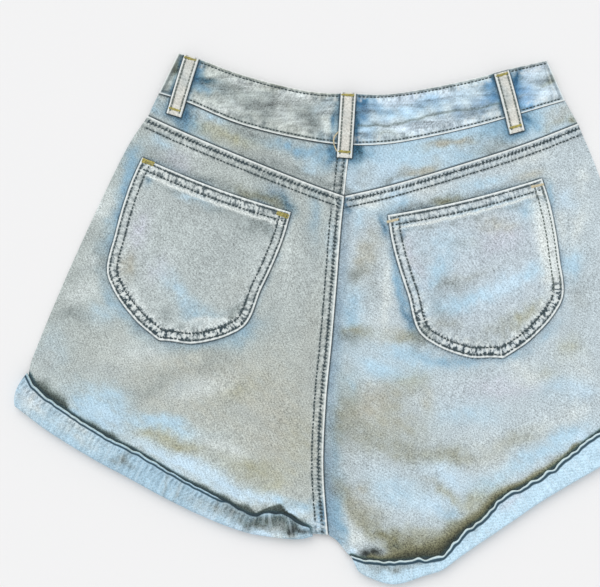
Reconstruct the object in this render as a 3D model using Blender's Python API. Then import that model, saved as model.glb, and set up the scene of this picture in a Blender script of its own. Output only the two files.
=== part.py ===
"""Denim shorts, laid flat on a surface with the back side up.

Metres, +Z up.  +X runs to the wearer's right, +Y from the crotch up to the waist.  The origin is
under the middle of the garment, on the surface that it lies on.  Tables and sizes are in
millimetres.  Every cloth piece is a wall between two leaves that share one grid of points, and the
turned-up leg ends are swept sections.
"""
import math

import bmesh
import bpy
import numpy as np

MM = 0.001

# Cloth thicknesses
CLOTH = 1.4
BAND = 2.3
CUFF = 2.4
LOOP = 2.2
POCKET = 1.5

# Clearances between pieces
GAP = 0.3
POCKET_GAP = 0.5
SEAM_PULL = 0.2

# How the layers stack up on the surface
CUFF_LIFT = CUFF + GAP
BAND_LIFT = LOOP + 0.5
LIFT_RUN = 30.0
BAND_STEP = (BAND - CLOTH) / 2
PUFF = 1.0
PUFF_LEAST = 0.4
PUFF_LIMIT = 3.4
PUFF_BLEND = 0.3
SIDE_RUN = 30.0
INSEAM_RUN = 14.0

# Free edges are rounded over this width, down to this share of the wall
RIM = 0.8
RIM_THIN = 0.55
RIM_SHOULDER = 0.9

# The nose of a turned-up leg end, and the walls that close it at the side seam
NOSE = 2.2
EDGE_ROUND = 1.2
END_WALL = 2.4
WALL_CLEAR = 0.6
TUCK_CLEAR = 0.6
CORNER_SWELL = 4.2
SWELL_RUN = 22.0

# Belt loops and button
LOOP_WIDTH = 13.5
LOOP_ARCH = 1.2
LOOP_FOOT = 13.0
LOOP_PAST = 1.6
LOOP_LANDING = 5.0
LOOP_STEPS = (0.0, 0.1, 0.3, 0.5, 0.75, 1.0)
BUTTON_RADIUS = 8.5
BUTTON_HEIGHT = 2.4
BUTTON_SLOPE = 0.8
BUTTON_SIDES = 28

# Fly placket
FLY_WIDTH = 36.0
FLY_STRAIGHT = 95.0
FLY_LENGTH = 150.0
FLY_TIP = 4.0

# Sections across the top, from the left side to the right: waist edge, foot of the band, yoke seam
#  name               waist x  waist y   foot x   foot y   yoke x   yoke y
UPPER = (
    ("left side",      -148.6,  238.7,  -166.2,  202.7,  -175.8,  182.4),
    ("left loop",      -129.2,  233.0,  -142.3,  195.1,  -150.0,  170.5),
    ("left back",       -93.2,  219.7,   -93.2,  174.9,   -95.0,  147.2),
    ("left of centre",  -30.2,  202.6,   -30.2,  160.0,   -30.2,  121.4),
    ("centre back",       5.8,  200.1,     5.8,  156.0,     0.8,  110.2),
    ("right of centre",  41.9,  199.4,    41.9,  157.2,    41.9,  119.8),
    ("right back",      113.9,  213.7,   113.9,  171.5,   113.9,  141.1),
    ("right loop",      149.7,  224.5,   159.4,  184.2,   163.0,  157.0),
    ("right side",      183.2,  232.3,   199.3,  196.1,   210.9,  175.6),
)
CENTRE_ROW = 4

# Levels down the legs: left side, centre seam, right side
#  name            left x  left y  centre x centre y  right x  right y
DOWN = (
    ("yoke seam",  -175.8,  182.4,     0.8,   110.2,   210.9,   175.6),
    ("hip",        -190.4,  160.7,    -2.2,    82.0,   222.5,   150.0),
    ("pocket",     -224.0,   88.7,    -6.2,    30.0,   242.5,    95.0),
    ("thigh",      -257.5,   16.7,   -10.6,   -22.0,   262.5,    25.0),
    ("lower leg",  -277.4,  -28.4,   -15.5,   -73.0,   276.5,   -30.0),
    ("seat",       -281.5,  -40.0,   -18.0,  -135.0,   281.5,   -50.0),
)
CROTCH = (-14.0, -194.6)

# Turned-up leg ends, from the side seam inwards: upper edge and fold
#  name             edge x   edge y   fold x   fold y
LEFT_LEG = (
    ("side seam",  -285.3,   -51.1,  -295.3,   -79.3),
    ("side",       -277.4,   -64.2,  -286.5,   -86.0),
    ("outer",      -255.4,   -81.4,  -265.5,  -101.5),
    ("outer back", -210.7,  -109.8,  -220.5,  -129.0),
    ("mid outer",  -187.9,  -121.0,  -197.5,  -141.2),
    ("middle",     -146.3,  -145.8,  -156.5,  -163.5),
    ("mid inner",  -110.3,  -164.7,  -118.5,  -181.3),
    ("notch",       -81.4,  -179.5,   -86.5,  -192.7),
    ("bulge",       -64.9,  -176.7,   -62.0,  -197.0),
    ("turn",        -50.1,  -179.9,   -47.5,  -198.4),
    ("inner",       -41.0,  -185.9,   -36.0,  -198.0),
    ("cuff end",    -31.0,  -189.6,   -28.6,  -196.2),
    ("crotch",      -14.0,  -194.6,   -13.0,  -197.5),
)
RIGHT_LEG = (
    ("side seam",   284.9,   -64.4,   295.7,   -92.3),
    ("side",        250.0,   -89.4,   262.5,  -113.1),
    ("outer",       216.8,  -113.2,   229.5,  -134.2),
    ("outer back",  186.9,  -137.1,   199.0,  -151.9),
    ("mid outer",   164.9,  -150.8,   174.0,  -167.2),
    ("middle",      141.9,  -162.8,   153.5,  -181.3),
    ("mid inner",   127.3,  -179.4,   136.0,  -193.2),
    ("dip",         111.2,  -191.3,   119.0,  -204.6),
    ("narrow",       95.8,  -207.3,   102.5,  -216.2),
    ("turn",         86.9,  -215.5,    89.0,  -226.0),
    ("low",          73.3,  -216.6,    74.0,  -231.0),
    ("lowest",       45.0,  -219.6,    45.0,  -239.0),
    ("inner",        16.7,  -217.5,    20.5,  -231.8),
    ("inseam",        7.4,  -214.6,    13.5,  -227.5),
)
INSEAM = (CROTCH, (-7.0, -199.2), (-0.5, -206.6), (4.6, -212.6))

# Half of a patch pocket in its own frame, from the mouth down
#  side:  down   half width
POCKET_SIDE = (
    (0.0,   71.3),
    (25.0,  73.0),
    (50.0,  72.3),
    (75.0,  70.0),
    (95.0,  67.5),
    (106.0, 64.5),
    (113.0, 60.0),
)
#  bottom:  half width   down
POCKET_BOTTOM = (
    (60.0, 113.0),
    (50.0, 122.5),
    (38.0, 131.0),
    (22.0, 140.0),
    (8.0,  146.5),
    (0.0,  148.0),
)
POCKET_MOUTH_DIP = 3.0
#  name            mouth x  mouth y  tilt in degrees
POCKETS = (
    ("pocket_left",  -114.3,  120.3,  -20.3),
    ("pocket_right",  109.3,  109.5,   13.4),
)

# Belt loops: middle of the top end and of the foot
#  name            top x    top y    foot x   foot y
LOOPS = (
    ("loop_left",   -136.3,  235.2,  -152.6,  182.7),
    ("loop_centre",    4.2,  199.6,     0.8,  144.5),
    ("loop_right",   141.7,  221.0,   156.1,  167.4),
)
#  name                 share of the waist from the left side
FRONT_LOOPS = (
    ("loop_front_left",  0.29),
    ("loop_front_right", 0.71),
)

# Soft folds of the upper layer: a ridge (+) or trough (-) from one point to another
#  name                    x1      y1      x2      y2   width  height
FOLDS = (
    ("left hem roll",   -236.0,  -72.0,  -110.0, -140.0,  13.0,   1.5),
    ("left inner roll", -110.0, -140.0,   -60.0, -158.0,  11.0,   1.3),
    ("left corner dip", -268.0,  -66.0,  -246.0,  -78.0,   9.0,  -1.2),
    ("left thigh",      -240.0,  -10.0,  -150.0,  -75.0,  22.0,   0.7),
    ("left beige dip",  -176.0,  -95.0,  -120.0, -115.0,  12.0,  -0.8),
    ("left seat",        -60.0,  -20.0,   -50.0, -110.0,  24.0,   0.8),
    ("crotch pucker",    -52.0, -160.0,   -58.0, -170.0,   7.0,   1.6),
    ("right crotch dip", -10.0, -155.0,    52.0, -209.0,  11.0,  -1.9),
    ("right hem dip",     52.0, -209.0,   112.0, -180.0,  11.0,  -1.9),
    ("right hem run",    112.0, -180.0,   215.0, -104.0,   9.0,  -1.4),
    ("right inseam",       6.0, -190.0,    34.0, -214.0,   8.0,   1.2),
    ("right lobe",        74.0, -158.0,   104.0, -170.0,  14.0,   1.5),
    ("right dip",         72.0, -140.0,   110.0, -170.0,   9.0,  -1.0),
    ("right roll",       110.0, -132.0,   218.0,  -72.0,  15.0,   1.5),
    ("right thigh",       90.0,  -70.0,   215.0,  -25.0,  24.0,   0.9),
    ("right seat",        30.0,  -20.0,    24.0, -120.0,  24.0,   0.8),
    ("left hip",        -196.0,  140.0,  -226.0,   60.0,  12.0,   0.7),
    ("right hip",        216.0,  125.0,   240.0,   60.0,  12.0,   0.7),
)

# Grid sizes
COLUMNS = 21
LEG_ROWS = 19
INSEAM_ROWS = 3
CROTCH_SHARE = 0.9
TUCK_SHARES = (0.5, 1.0)
YOKE_ROWS = 4
BAND_COLUMNS = 41
BAND_DOWN = (0.0, 0.02, 0.5, 1.0)
FRONT_BAND_COLUMNS = 12
FRONT_DROP = 4.0
POCKET_STEPS = 13

#  colour (linear), roughness
FINISHES = {
    "denim": ((0.42, 0.49, 0.50), 0.9),
    "yoke denim": ((0.40, 0.48, 0.51), 0.9),
    "band denim": ((0.44, 0.53, 0.56), 0.9),
    "pocket denim": ((0.46, 0.54, 0.56), 0.9),
    "reverse denim": ((0.55, 0.66, 0.72), 0.92),
    "loop denim": ((0.50, 0.56, 0.58), 0.88),
    "button metal": ((0.42, 0.33, 0.22), 0.35),
}


def finish(name):
    """The named material, made on first use."""
    material = bpy.data.materials.get(name)
    if material:
        return material
    colour, roughness = FINISHES[name]
    material = bpy.data.materials.new(name)
    material.use_nodes = True
    shader = material.node_tree.nodes["Principled BSDF"]
    shader.inputs["Base Color"].default_value = (*colour, 1.0)
    shader.inputs["Roughness"].default_value = roughness
    shader.inputs["Metallic"].default_value = 1.0 if name == "button metal" else 0.0
    return material


# Curves and grids -------------------------------------------------------------------------------

def column(table, first):
    """The points in two neighbouring columns of a table with a name in front."""
    return np.array([row[first:first + 2] for row in table], float)


def on_spline(points, at):
    """Points on a smooth curve through the given ones, at row numbers that may be fractions."""
    points = np.asarray(points, float)
    ahead = 2 * points[0] - points[1]
    behind = 2 * points[-1] - points[-2]
    padded = np.vstack([ahead, points, behind])
    steps = np.sqrt(np.maximum(np.linalg.norm(np.diff(padded, axis=0), axis=1), 1e-6))
    knots = np.concatenate([[0.0], np.cumsum(steps)])
    at = np.atleast_1d(np.asarray(at, float))
    row = np.clip(at.astype(int), 0, len(points) - 2)
    t0, t1, t2, t3 = (knots[row + k] for k in range(4))
    p0, p1, p2, p3 = (padded[row + k] for k in range(4))
    t = t1 + (t2 - t1) * (at - row)

    def mix(a, b, ta, tb):
        share = ((t - ta) / (tb - ta))[:, None]
        return a + (b - a) * share

    a1, a2, a3 = mix(p0, p1, t0, t1), mix(p1, p2, t1, t2), mix(p2, p3, t2, t3)
    return mix(mix(a1, a2, t0, t2), mix(a2, a3, t1, t3), t1, t2)


def even_rows(curves, first, last, shares):
    """Row numbers at shares of the curves' mean length between two rows."""
    fine = np.linspace(first, last, 400)
    length = np.zeros(len(fine))
    for points in curves:
        steps = np.linalg.norm(np.diff(on_spline(points, fine), axis=0), axis=1)
        length[1:] += np.cumsum(steps)
    return np.interp(np.asarray(shares) * length[-1], length, fine)


def on_edge(points, shares):
    """Points at shares of the length of a smooth curve."""
    return on_spline(points, even_rows([points], 0, len(points) - 1, shares))


def coons(top, bottom, outer, inner, across, down):
    """A grid between four edges that share their corners."""
    u = np.asarray(across)[None, :, None]
    v = np.asarray(down)[:, None, None]
    ruled = (1 - v) * top[None] + v * bottom[None]
    lofted = (1 - u) * outer[:, None] + u * inner[:, None]
    corners = ((1 - u) * (1 - v) * top[0] + u * (1 - v) * top[-1]
               + (1 - u) * v * bottom[0] + u * v * bottom[-1])
    return ruled + lofted - corners


def pull_back(edge, neighbour, by=SEAM_PULL):
    """An edge of a grid moved towards the next line of points, which leaves a seam's gap."""
    step = neighbour - edge
    return edge + step * (by / np.linalg.norm(step, axis=-1, keepdims=True))


def rim_shares(length, count):
    """Shares of a width: two near the free edge for its rounding, then even ones."""
    inside = np.linspace(2.5 * RIM / length, 1.0, count)
    return np.concatenate([[0.0, RIM / length], inside])


def distance_to(points, line):
    """Distance of each point from a line of straight steps."""
    start, step = line[:-1], np.diff(line, axis=0)
    offset = points[..., None, :] - start
    share = np.clip((offset * step).sum(-1) / (step * step).sum(-1), 0, 1)
    return np.linalg.norm(offset - share[..., None] * step, axis=-1).min(-1)


def ease(share):
    """A smooth step from 0 to 1."""
    share = np.clip(share, 0, 1)
    return share * share * (3 - 2 * share)


# Edges of the garment ---------------------------------------------------------------------------

WAIST = column(UPPER, 1)
FOOT = column(UPPER, 3)
YOKE = column(UPPER, 5)
LAST = len(UPPER) - 1
CENTRE_BACK = np.vstack([column(DOWN, 3), [CROTCH]])
INSEAM_LINE = np.array(INSEAM)


def yoke_seam(rows):
    """The yoke seam, which has a corner at the centre back."""
    rows = np.asarray(rows)
    left = on_spline(YOKE[:CENTRE_ROW + 1], np.minimum(rows, CENTRE_ROW))
    right = on_spline(YOKE[CENTRE_ROW:], np.maximum(rows - CENTRE_ROW, 0))
    return np.where((rows <= CENTRE_ROW)[:, None], left, right)


def arc_length(line):
    return float(np.linalg.norm(np.diff(line, axis=0), axis=1).sum())


class Half:
    """The flat layout of one half of the garment, shared by its back and its front layer."""

    def __init__(self, name, leg_table, side_column, first_row, has_inseam):
        self.name = name
        self.edge = column(leg_table, 1)
        self.fold = column(leg_table, 3)
        self.last = len(leg_table) - 1
        self.length = arc_length(on_spline(self.edge, np.linspace(0, self.last, 400)))
        self.has_inseam = has_inseam
        self.first_row = first_row
        self.across = rim_shares(self.length, COLUMNS)
        self.stations = self.clear_stations()
        self.yoke = self.yoke_grid()
        self.leg = self.leg_grid(side_column)
        self.tuck = self.tucked_rows()

    def at(self, shares):
        """Points of the leg end's upper edge and fold at shares of its length."""
        rows = even_rows([self.edge], 0, self.last, shares)
        return on_spline(self.edge, rows), on_spline(self.fold, rows)

    def clear_stations(self):
        """Where the panel's columns meet the leg end, clear of the cuff's end walls."""
        first = (END_WALL + WALL_CLEAR) / self.length
        last = 1 - first if self.has_inseam else 1.0
        return first + (last - first) * self.across

    def yoke_grid(self):
        rows = even_rows([YOKE], self.first_row, CENTRE_ROW, self.across)
        top, bottom = on_spline(FOOT, rows), yoke_seam(rows)
        down = np.linspace(0, 1, YOKE_ROWS)[:, None, None]
        return top[None] * (1 - down) + bottom[None] * down

    def leg_grid(self, side_column):
        hem = self.at(self.stations)[0]
        side = np.vstack([column(DOWN, side_column), hem[0]])
        down = np.linspace(0, 1, LEG_ROWS)
        inner = on_edge(CENTRE_BACK, down)
        if self.has_inseam:
            above, below = LEG_ROWS - INSEAM_ROWS, INSEAM_ROWS + 1
            down = np.concatenate([np.linspace(0, CROTCH_SHARE, above),
                                   np.linspace(CROTCH_SHARE, 1, below)[1:]])
            inseam = np.vstack([INSEAM_LINE, hem[-1]])
            inner = np.concatenate([on_edge(CENTRE_BACK, np.linspace(0, 1, above)),
                                    on_edge(inseam, np.linspace(0, 1, below)[1:])])
        return coons(self.yoke[-1], hem, on_edge(side, down), inner, self.across, down)

    def tucked_rows(self):
        """Rows of the leg inside its turned-up end, short of the fold."""
        edge, fold = self.at(self.stations)
        step = fold - edge
        width = np.linalg.norm(step, axis=1, keepdims=True)
        depth = (width - NOSE - TUCK_CLEAR) / width
        return np.array([edge + step * depth * share for share in TUCK_SHARES])


LEFT = Half("left", LEFT_LEG, 1, 0, has_inseam=False)
RIGHT = Half("right", RIGHT_LEG, 5, LAST, has_inseam=True)
HEM_LINES = [half.at(np.linspace(0, 1, 60))[0] for half in (LEFT, RIGHT)]
FOOT_LINE = on_spline(FOOT, np.linspace(0, LAST, 80))
OUTER_LINES = [np.vstack([WAIST[half.first_row], half.yoke[:, 0], half.leg[1:, 0], half.fold[0]])
               for half in (LEFT, RIGHT)]


# Heights ----------------------------------------------------------------------------------------

def lift(points):
    """Height of the front panels' outer face: over the turned-up ends and towards the band."""
    to_hem = np.minimum(*[distance_to(points, line) for line in HEM_LINES])
    over_cuff = CUFF_LIFT * ease(1 - to_hem / LIFT_RUN)
    past_loops = distance_to(points, FOOT_LINE) - LOOP_FOOT
    under_band = (BAND_LIFT + BAND_STEP) * ease(1 - past_loops / LIFT_RUN)
    return np.maximum(over_cuff, under_band)


def puff(points):
    """Height of the upper layer above the lower one: its loft and its soft folds."""
    height = np.full(points.shape[:-1], PUFF)
    for _, x1, y1, x2, y2, width, rise in FOLDS:
        away = distance_to(points, np.array([(x1, y1), (x2, y2)]))
        height += rise * np.exp(-(away / width) ** 2)
    above = height - PUFF_LEAST
    height = PUFF_LEAST + 0.5 * (above + np.sqrt(above * above + PUFF_BLEND ** 2))
    height = PUFF_LIMIT * np.tanh(height / PUFF_LIMIT)
    for line in OUTER_LINES:
        height *= ease(distance_to(points, line) / SIDE_RUN)
    return height * ease(distance_to(points, INSEAM_LINE) / INSEAM_RUN)


def front_inner(points, tucked=0):
    """The lower layer's inner face; its last rows may be tucked inside a turned-up end."""
    height = lift(points)
    if tucked:
        height[-tucked:] = CUFF_LIFT
    return height + CLOTH


def back_inner(points, tucked=0):
    """The upper layer's inner face."""
    return front_inner(points, tucked) + GAP + puff(points)


def band_inner(points):
    return BAND_LIFT + BAND + GAP + puff(points)


# Solids -----------------------------------------------------------------------------------------

def add_object(name, mesh_data, finish_name):
    """A mesh object in metres from a bmesh in millimetres, with its faces pointing out."""
    bmesh.ops.triangulate(mesh_data, faces=mesh_data.faces[:])
    bmesh.ops.recalc_face_normals(mesh_data, faces=mesh_data.faces[:])
    for vertex in mesh_data.verts:
        vertex.co *= MM
    mesh = bpy.data.meshes.new(name)
    mesh_data.to_mesh(mesh)
    mesh_data.free()
    mesh.shade_smooth()
    mesh.set_sharp_from_angle(angle=math.radians(40))
    mesh.materials.append(finish(finish_name))
    body = bpy.data.objects.new(name, mesh)
    bpy.context.scene.collection.objects.link(body)
    return body


def wall(name, grid, low, high, finish_name):
    """A closed wall between a lower and an upper leaf on one grid of points."""
    rows, columns = grid.shape[:2]
    shape = bmesh.new()

    def leaf(heights):
        return [[shape.verts.new((*grid[r, c], heights[r, c])) for c in range(columns)]
                for r in range(rows)]

    under, over = leaf(low), leaf(high)
    for r in range(rows - 1):
        for c in range(columns - 1):
            for side in (under, over):
                shape.faces.new((side[r][c], side[r][c + 1], side[r + 1][c + 1]))
                shape.faces.new((side[r][c], side[r + 1][c + 1], side[r + 1][c]))
    rim = ([(0, c) for c in range(columns)] + [(r, columns - 1) for r in range(1, rows)]
           + [(rows - 1, c) for c in range(columns - 2, -1, -1)]
           + [(r, 0) for r in range(rows - 2, 0, -1)])
    for (r, c), (r2, c2) in zip(rim, rim[1:] + rim[:1]):
        shape.faces.new((under[r][c], under[r2][c2], over[r2][c2], over[r][c]))
    return add_object(name, shape, finish_name)


def sweep(name, rings, cap, finish_name):
    """A closed body through rings of points, each end filled with the cap's triangles."""
    shape = bmesh.new()
    loops = [[shape.verts.new(tuple(point)) for point in ring] for ring in rings]
    for ring, following in zip(loops, loops[1:]):
        for k in range(len(ring)):
            n = (k + 1) % len(ring)
            shape.faces.new((ring[k], ring[n], following[n], following[k]))
    for end in (loops[0], loops[-1]):
        for corners in cap:
            shape.faces.new([end[k] for k in corners])
    return add_object(name, shape, finish_name)


def rounded(thickness, outer=False, inner=False, top=False, bottom=False):
    """Wall thickness over a grid, thinner along its free edges."""
    def soften(edge, shoulder):
        edge *= RIM_THIN
        shoulder *= RIM_SHOULDER

    if outer:
        soften(thickness[:, 0], thickness[:, 1])
    if inner:
        soften(thickness[:, -1], thickness[:, -2])
    if top:
        soften(thickness[0], thickness[1])
    if bottom:
        soften(thickness[-1], thickness[-2])
    return thickness


# Pieces -----------------------------------------------------------------------------------------

def seam_gap(grid, top=False, bottom=False, inner=False):
    """The grid with its sewn edges pulled back a little from their seams."""
    grid = grid.copy()
    if top:
        grid[0] = pull_back(grid[0], grid[1])
    if bottom:
        grid[-1] = pull_back(grid[-1], grid[-2])
    if inner:
        grid[:, -1] = pull_back(grid[:, -1], grid[:, -2])
    return grid


def back_panel(half):
    grid = seam_gap(np.concatenate([half.leg, half.tuck]), top=True, inner=True)
    low = back_inner(grid, tucked=len(half.tuck))
    thick = rounded(np.full(low.shape, CLOTH), outer=True)
    return wall(f"back_panel_{half.name}", grid, low, low + thick, "denim")


def yoke(half):
    grid = seam_gap(half.yoke, top=True, bottom=True, inner=True)
    low = back_inner(grid)
    thick = rounded(np.full(low.shape, CLOTH), outer=True)
    return wall(f"yoke_{half.name}", grid, low, low + thick, "yoke denim")


def front_rows(half):
    """The rows under the yoke and the back panel."""
    return np.concatenate([half.yoke[:-1], half.leg, half.tuck])


def fly_offsets(rows):
    """Width of the fly on each row down the centre front, with its J-shaped end."""
    down = np.concatenate([[0.0], np.cumsum(np.linalg.norm(np.diff(rows[:, -1], axis=0), axis=1))])
    turn = np.clip((down - FLY_STRAIGHT) / (FLY_LENGTH - FLY_STRAIGHT), 0, 1)
    return FLY_WIDTH * np.sqrt(1 - turn * turn)


def along_row(row, first, last, count):
    """Even points on a row, between two distances from its centre end."""
    back = row[::-1]
    length = np.concatenate([[0.0], np.cumsum(np.linalg.norm(np.diff(back, axis=0), axis=1))])
    at = np.linspace(first, last, count)
    return np.stack([np.interp(at, length, back[:, k]) for k in (0, 1)], axis=1)


def front_panel(half, with_fly):
    grid = front_rows(half)
    if with_fly:
        for row, offset in zip(grid, fly_offsets(grid)):
            if offset > 0:
                reach = arc_length(row[2:])
                row[2:] = along_row(row[2:], reach, offset, len(row) - 2)
    grid = seam_gap(grid, top=True, inner=True)
    high = front_inner(grid, tucked=len(half.tuck))
    thick = rounded(np.full(high.shape, CLOTH), outer=True)
    return wall(f"front_panel_{half.name}", grid, high - thick, high, "denim")


def fly(half):
    """The placket over the front opening, flush with the panel that it is cut into."""
    rows = front_rows(half)
    offsets = fly_offsets(rows)
    grid = np.array([along_row(row, offset, 0.0, 5)
                     for row, offset in zip(rows, offsets) if offset > FLY_TIP])
    grid = seam_gap(grid, top=True, inner=True)
    grid[:, 0] = pull_back(grid[:, 0], grid[:, 1])
    high = front_inner(grid)
    return wall("fly", grid, high - CLOTH, high, "denim")


def band_grid(first_row, last_row, shares, drop=0.0):
    """Grid of a stretch of waistband, whose upper edge may sit a little lower in the middle."""
    rows = even_rows([WAIST, FOOT], first_row, last_row, shares)
    top, bottom = on_spline(WAIST, rows), on_spline(FOOT, rows)
    sunk = drop * np.sin(math.pi * rows / LAST)[:, None]
    height = np.linalg.norm(bottom - top, axis=1, keepdims=True)
    top = top + (bottom - top) * sunk / height
    down = np.array(BAND_DOWN)[:, None, None]
    grid = top[None] * (1 - down) + bottom[None] * down
    return seam_gap(grid, bottom=True)


def back_band():
    length = arc_length(FOOT_LINE)
    grid = band_grid(0, LAST, rim_both(BAND_COLUMNS, length))
    low = band_inner(grid)
    thick = rounded(np.full(low.shape, BAND), outer=True, inner=True, top=True)
    return wall("waistband_back", grid, low, low + thick, "band denim")


def front_band(half):
    length = arc_length(FOOT_LINE) / 2
    shares = rim_shares(length, FRONT_BAND_COLUMNS)
    grid = band_grid(half.first_row, CENTRE_ROW, shares, drop=FRONT_DROP)
    grid = seam_gap(grid, inner=True)
    high = np.full(grid.shape[:2], BAND_LIFT + BAND)
    thick = rounded(np.full(high.shape, BAND), outer=True, top=True)
    return wall(f"waistband_front_{half.name}", grid, high - thick, high, "band denim")


def pocket(name, mouth_x, mouth_y, tilt):
    """A patch pocket: a straight-sided shield with a blunt point, lying on its leg panel."""
    shares = rim_both(POCKET_STEPS, 2 * POCKET_SIDE[0][1])
    down = rim_both(POCKET_STEPS, POCKET_BOTTOM[-1][1])
    side = on_edge([(-half, -depth) for depth, half in POCKET_SIDE], down)
    half_bottom = [(-half, -depth) for half, depth in POCKET_BOTTOM]
    bottom = on_edge(half_bottom + [(-x, y) for x, y in half_bottom[-2::-1]], shares)
    mouth = np.stack([POCKET_SIDE[0][1] * (2 * shares - 1),
                      -POCKET_MOUTH_DIP * np.sin(math.pi * shares)], axis=1)
    flat = coons(mouth, bottom, side, side * (-1, 1), shares, down)
    turn = math.radians(tilt)
    spin = np.array([[math.cos(turn), math.sin(turn)], [-math.sin(turn), math.cos(turn)]])
    grid = flat @ spin + (mouth_x, mouth_y)
    low = back_inner(grid) + CLOTH + POCKET_GAP
    thick = rounded(np.full(low.shape, POCKET), outer=True, inner=True, top=True, bottom=True)
    return wall(name, grid, low, low + thick, "pocket denim")


def rim_both(count, length):
    """Shares of a width with two near each free edge for its rounding."""
    inside = np.linspace(2.5 * RIM / length, 1 - 2.5 * RIM / length, count)
    return np.concatenate([[0.0, RIM / length], inside, [1 - RIM / length, 1.0]])


# Triangles that fill a section of a turned-up end, by the numbers of the ring's points
CUFF_CAP = ((0, 1, 2), (0, 2, 3), (0, 3, 11), (11, 3, 4), (11, 4, 10),
            (10, 4, 5), (10, 5, 9), (9, 5, 8), (8, 5, 7), (5, 6, 7))


def cuff_ring(edge, fold, swell, closed):
    """One section of a turned-up leg end: distances from the fold, heights off the inner face."""
    width = np.linalg.norm(edge - fold)
    middle = (width + NOSE) / 2
    shoulder = width - min(EDGE_ROUND, (width - NOSE) / 3)
    base, outer = CLOTH + GAP, CLOTH + GAP + CUFF
    sections = (
        (width, base),
        (width, outer - EDGE_ROUND * 0.8),
        (shoulder, outer),
        (middle, outer),
        (NOSE, outer),
        (NOSE * 0.32, outer - NOSE * 0.32),
        (0.0, outer / 2),
        (NOSE * 0.32, NOSE * 0.22),
        (NOSE * 0.86, 0.0),
        (NOSE, 0.0),
        (NOSE, base),
        (middle, base),
    )
    if closed:
        shut_nose = ((NOSE * 1.02, 0.0), (middle, 0.0))
        sections = ((width, 0.0),) + sections[1:-2] + shut_nose
    away = np.array([x for x, _ in sections])[:, None]
    height = np.array([h for _, h in sections])
    share = away / width
    plan = fold + (edge - fold) * share + swell * 4 * share * (1 - share)
    return plan, height


def cuff(half, upper):
    """The turned-up end of one leg, on its back or its front layer."""
    ends = np.array([0.0, END_WALL, END_WALL + 0.1]) / half.length
    inside = half.stations[3:-1]
    last = 1 - ends[::-1] if half.has_inseam else []
    shares = np.concatenate([ends, inside, last])
    edge, fold = half.at(shares)
    outward = 1.0 if half.has_inseam else -1.0
    rings = []
    for k, share in enumerate(shares):
        near = math.exp(-(share * half.length / SWELL_RUN) ** 2)
        swell = np.array([outward * CORNER_SWELL * near, 0.0])
        shut = k < 2 or (half.has_inseam and k >= len(shares) - 2)
        plan, height = cuff_ring(edge[k], fold[k], swell, shut)
        if upper:
            z = CUFF_LIFT + CLOTH + GAP + puff(plan) + height
        else:
            z = CUFF_LIFT + CLOTH - height
        rings.append(np.column_stack([plan, z]))
    layer = "back" if upper else "front"
    return sweep(f"cuff_{half.name}_{layer}", rings, CUFF_CAP, "reverse denim")


def loop_grid(top, foot, down):
    """Grid of a belt loop between the middles of its two ends."""
    step = (foot - top) / np.linalg.norm(foot - top)
    across = np.array([-step[1], step[0]])
    side = (rim_both(2, LOOP_WIDTH) - 0.5) * LOOP_WIDTH
    along = top + (foot - top) * np.asarray(down)[:, None]
    return along[:, None] + side[None, :, None] * across


def back_loop(name, top_x, top_y, foot_x, foot_y):
    """A belt loop: up and over the band with room for a belt, its foot on the yoke."""
    top, foot = np.array([top_x, top_y]), np.array([foot_x, foot_y])
    length = np.linalg.norm(foot - top)
    fine = np.linspace(0, 1, 200)
    crossing = fine[np.argmin(distance_to(top + (foot - top) * fine[:, None], FOOT_LINE))]
    past = crossing + LOOP_PAST / length
    landing = crossing + LOOP_LANDING / length
    down = np.concatenate([past * np.array(LOOP_STEPS), [landing, 1.0]])
    grid = loop_grid(top, foot, down)
    arch = LOOP_ARCH * np.sin(math.pi * np.clip(down / past, 0, 1))
    on_band = band_inner(grid) + BAND
    on_yoke = back_inner(grid) + CLOTH
    over_band = (down <= past)[:, None]
    under = np.where(over_band, np.maximum(on_band, on_yoke), on_yoke)
    low = under + GAP + arch[:, None]
    thick = rounded(np.full(low.shape, LOOP), outer=True, inner=True)
    return wall(name, grid, low, low + thick, "loop denim")


def front_loop(name, share):
    """A belt loop pressed flat between the front band and the surface."""
    rows = np.array([share * LAST])
    top, foot = on_spline(WAIST, rows)[0], on_spline(FOOT, rows)[0]
    step = (foot - top) / np.linalg.norm(foot - top)
    start = top + step * (FRONT_DROP + RIM)
    end = foot + step * (LOOP_FOOT - RIM)
    grid = loop_grid(start, end, [0.0, 0.5, 1.0])
    high = np.full(grid.shape[:2], LOOP)
    low = LOOP - rounded(high.copy(), outer=True, inner=True)
    return wall(name, grid, low, high, "loop denim")


def button():
    """The waist button, under the meeting of the front bands."""
    at = (WAIST[CENTRE_ROW] + FOOT[CENTRE_ROW]) / 2
    shape = bmesh.new()
    made = bmesh.ops.create_cone(shape, cap_ends=True, segments=BUTTON_SIDES,
                                 radius1=BUTTON_RADIUS - BUTTON_SLOPE,
                                 radius2=BUTTON_RADIUS, depth=BUTTON_HEIGHT)
    bmesh.ops.translate(shape, verts=made["verts"], vec=(at[0], at[1], BUTTON_HEIGHT / 2))
    return add_object("button", shape, "button metal")


def build():
    for old in list(bpy.data.objects):
        bpy.data.objects.remove(old, do_unlink=True)
    back_band()
    for row in POCKETS:
        pocket(*row)
    for row in LOOPS:
        back_loop(*row)
    for half in (LEFT, RIGHT):
        back_panel(half)
        yoke(half)
        front_panel(half, with_fly=half is LEFT)
        front_band(half)
        cuff(half, upper=True)
        cuff(half, upper=False)
    fly(LEFT)
    for row in FRONT_LOOPS:
        front_loop(*row)
    button()


build()
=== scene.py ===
import math

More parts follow.
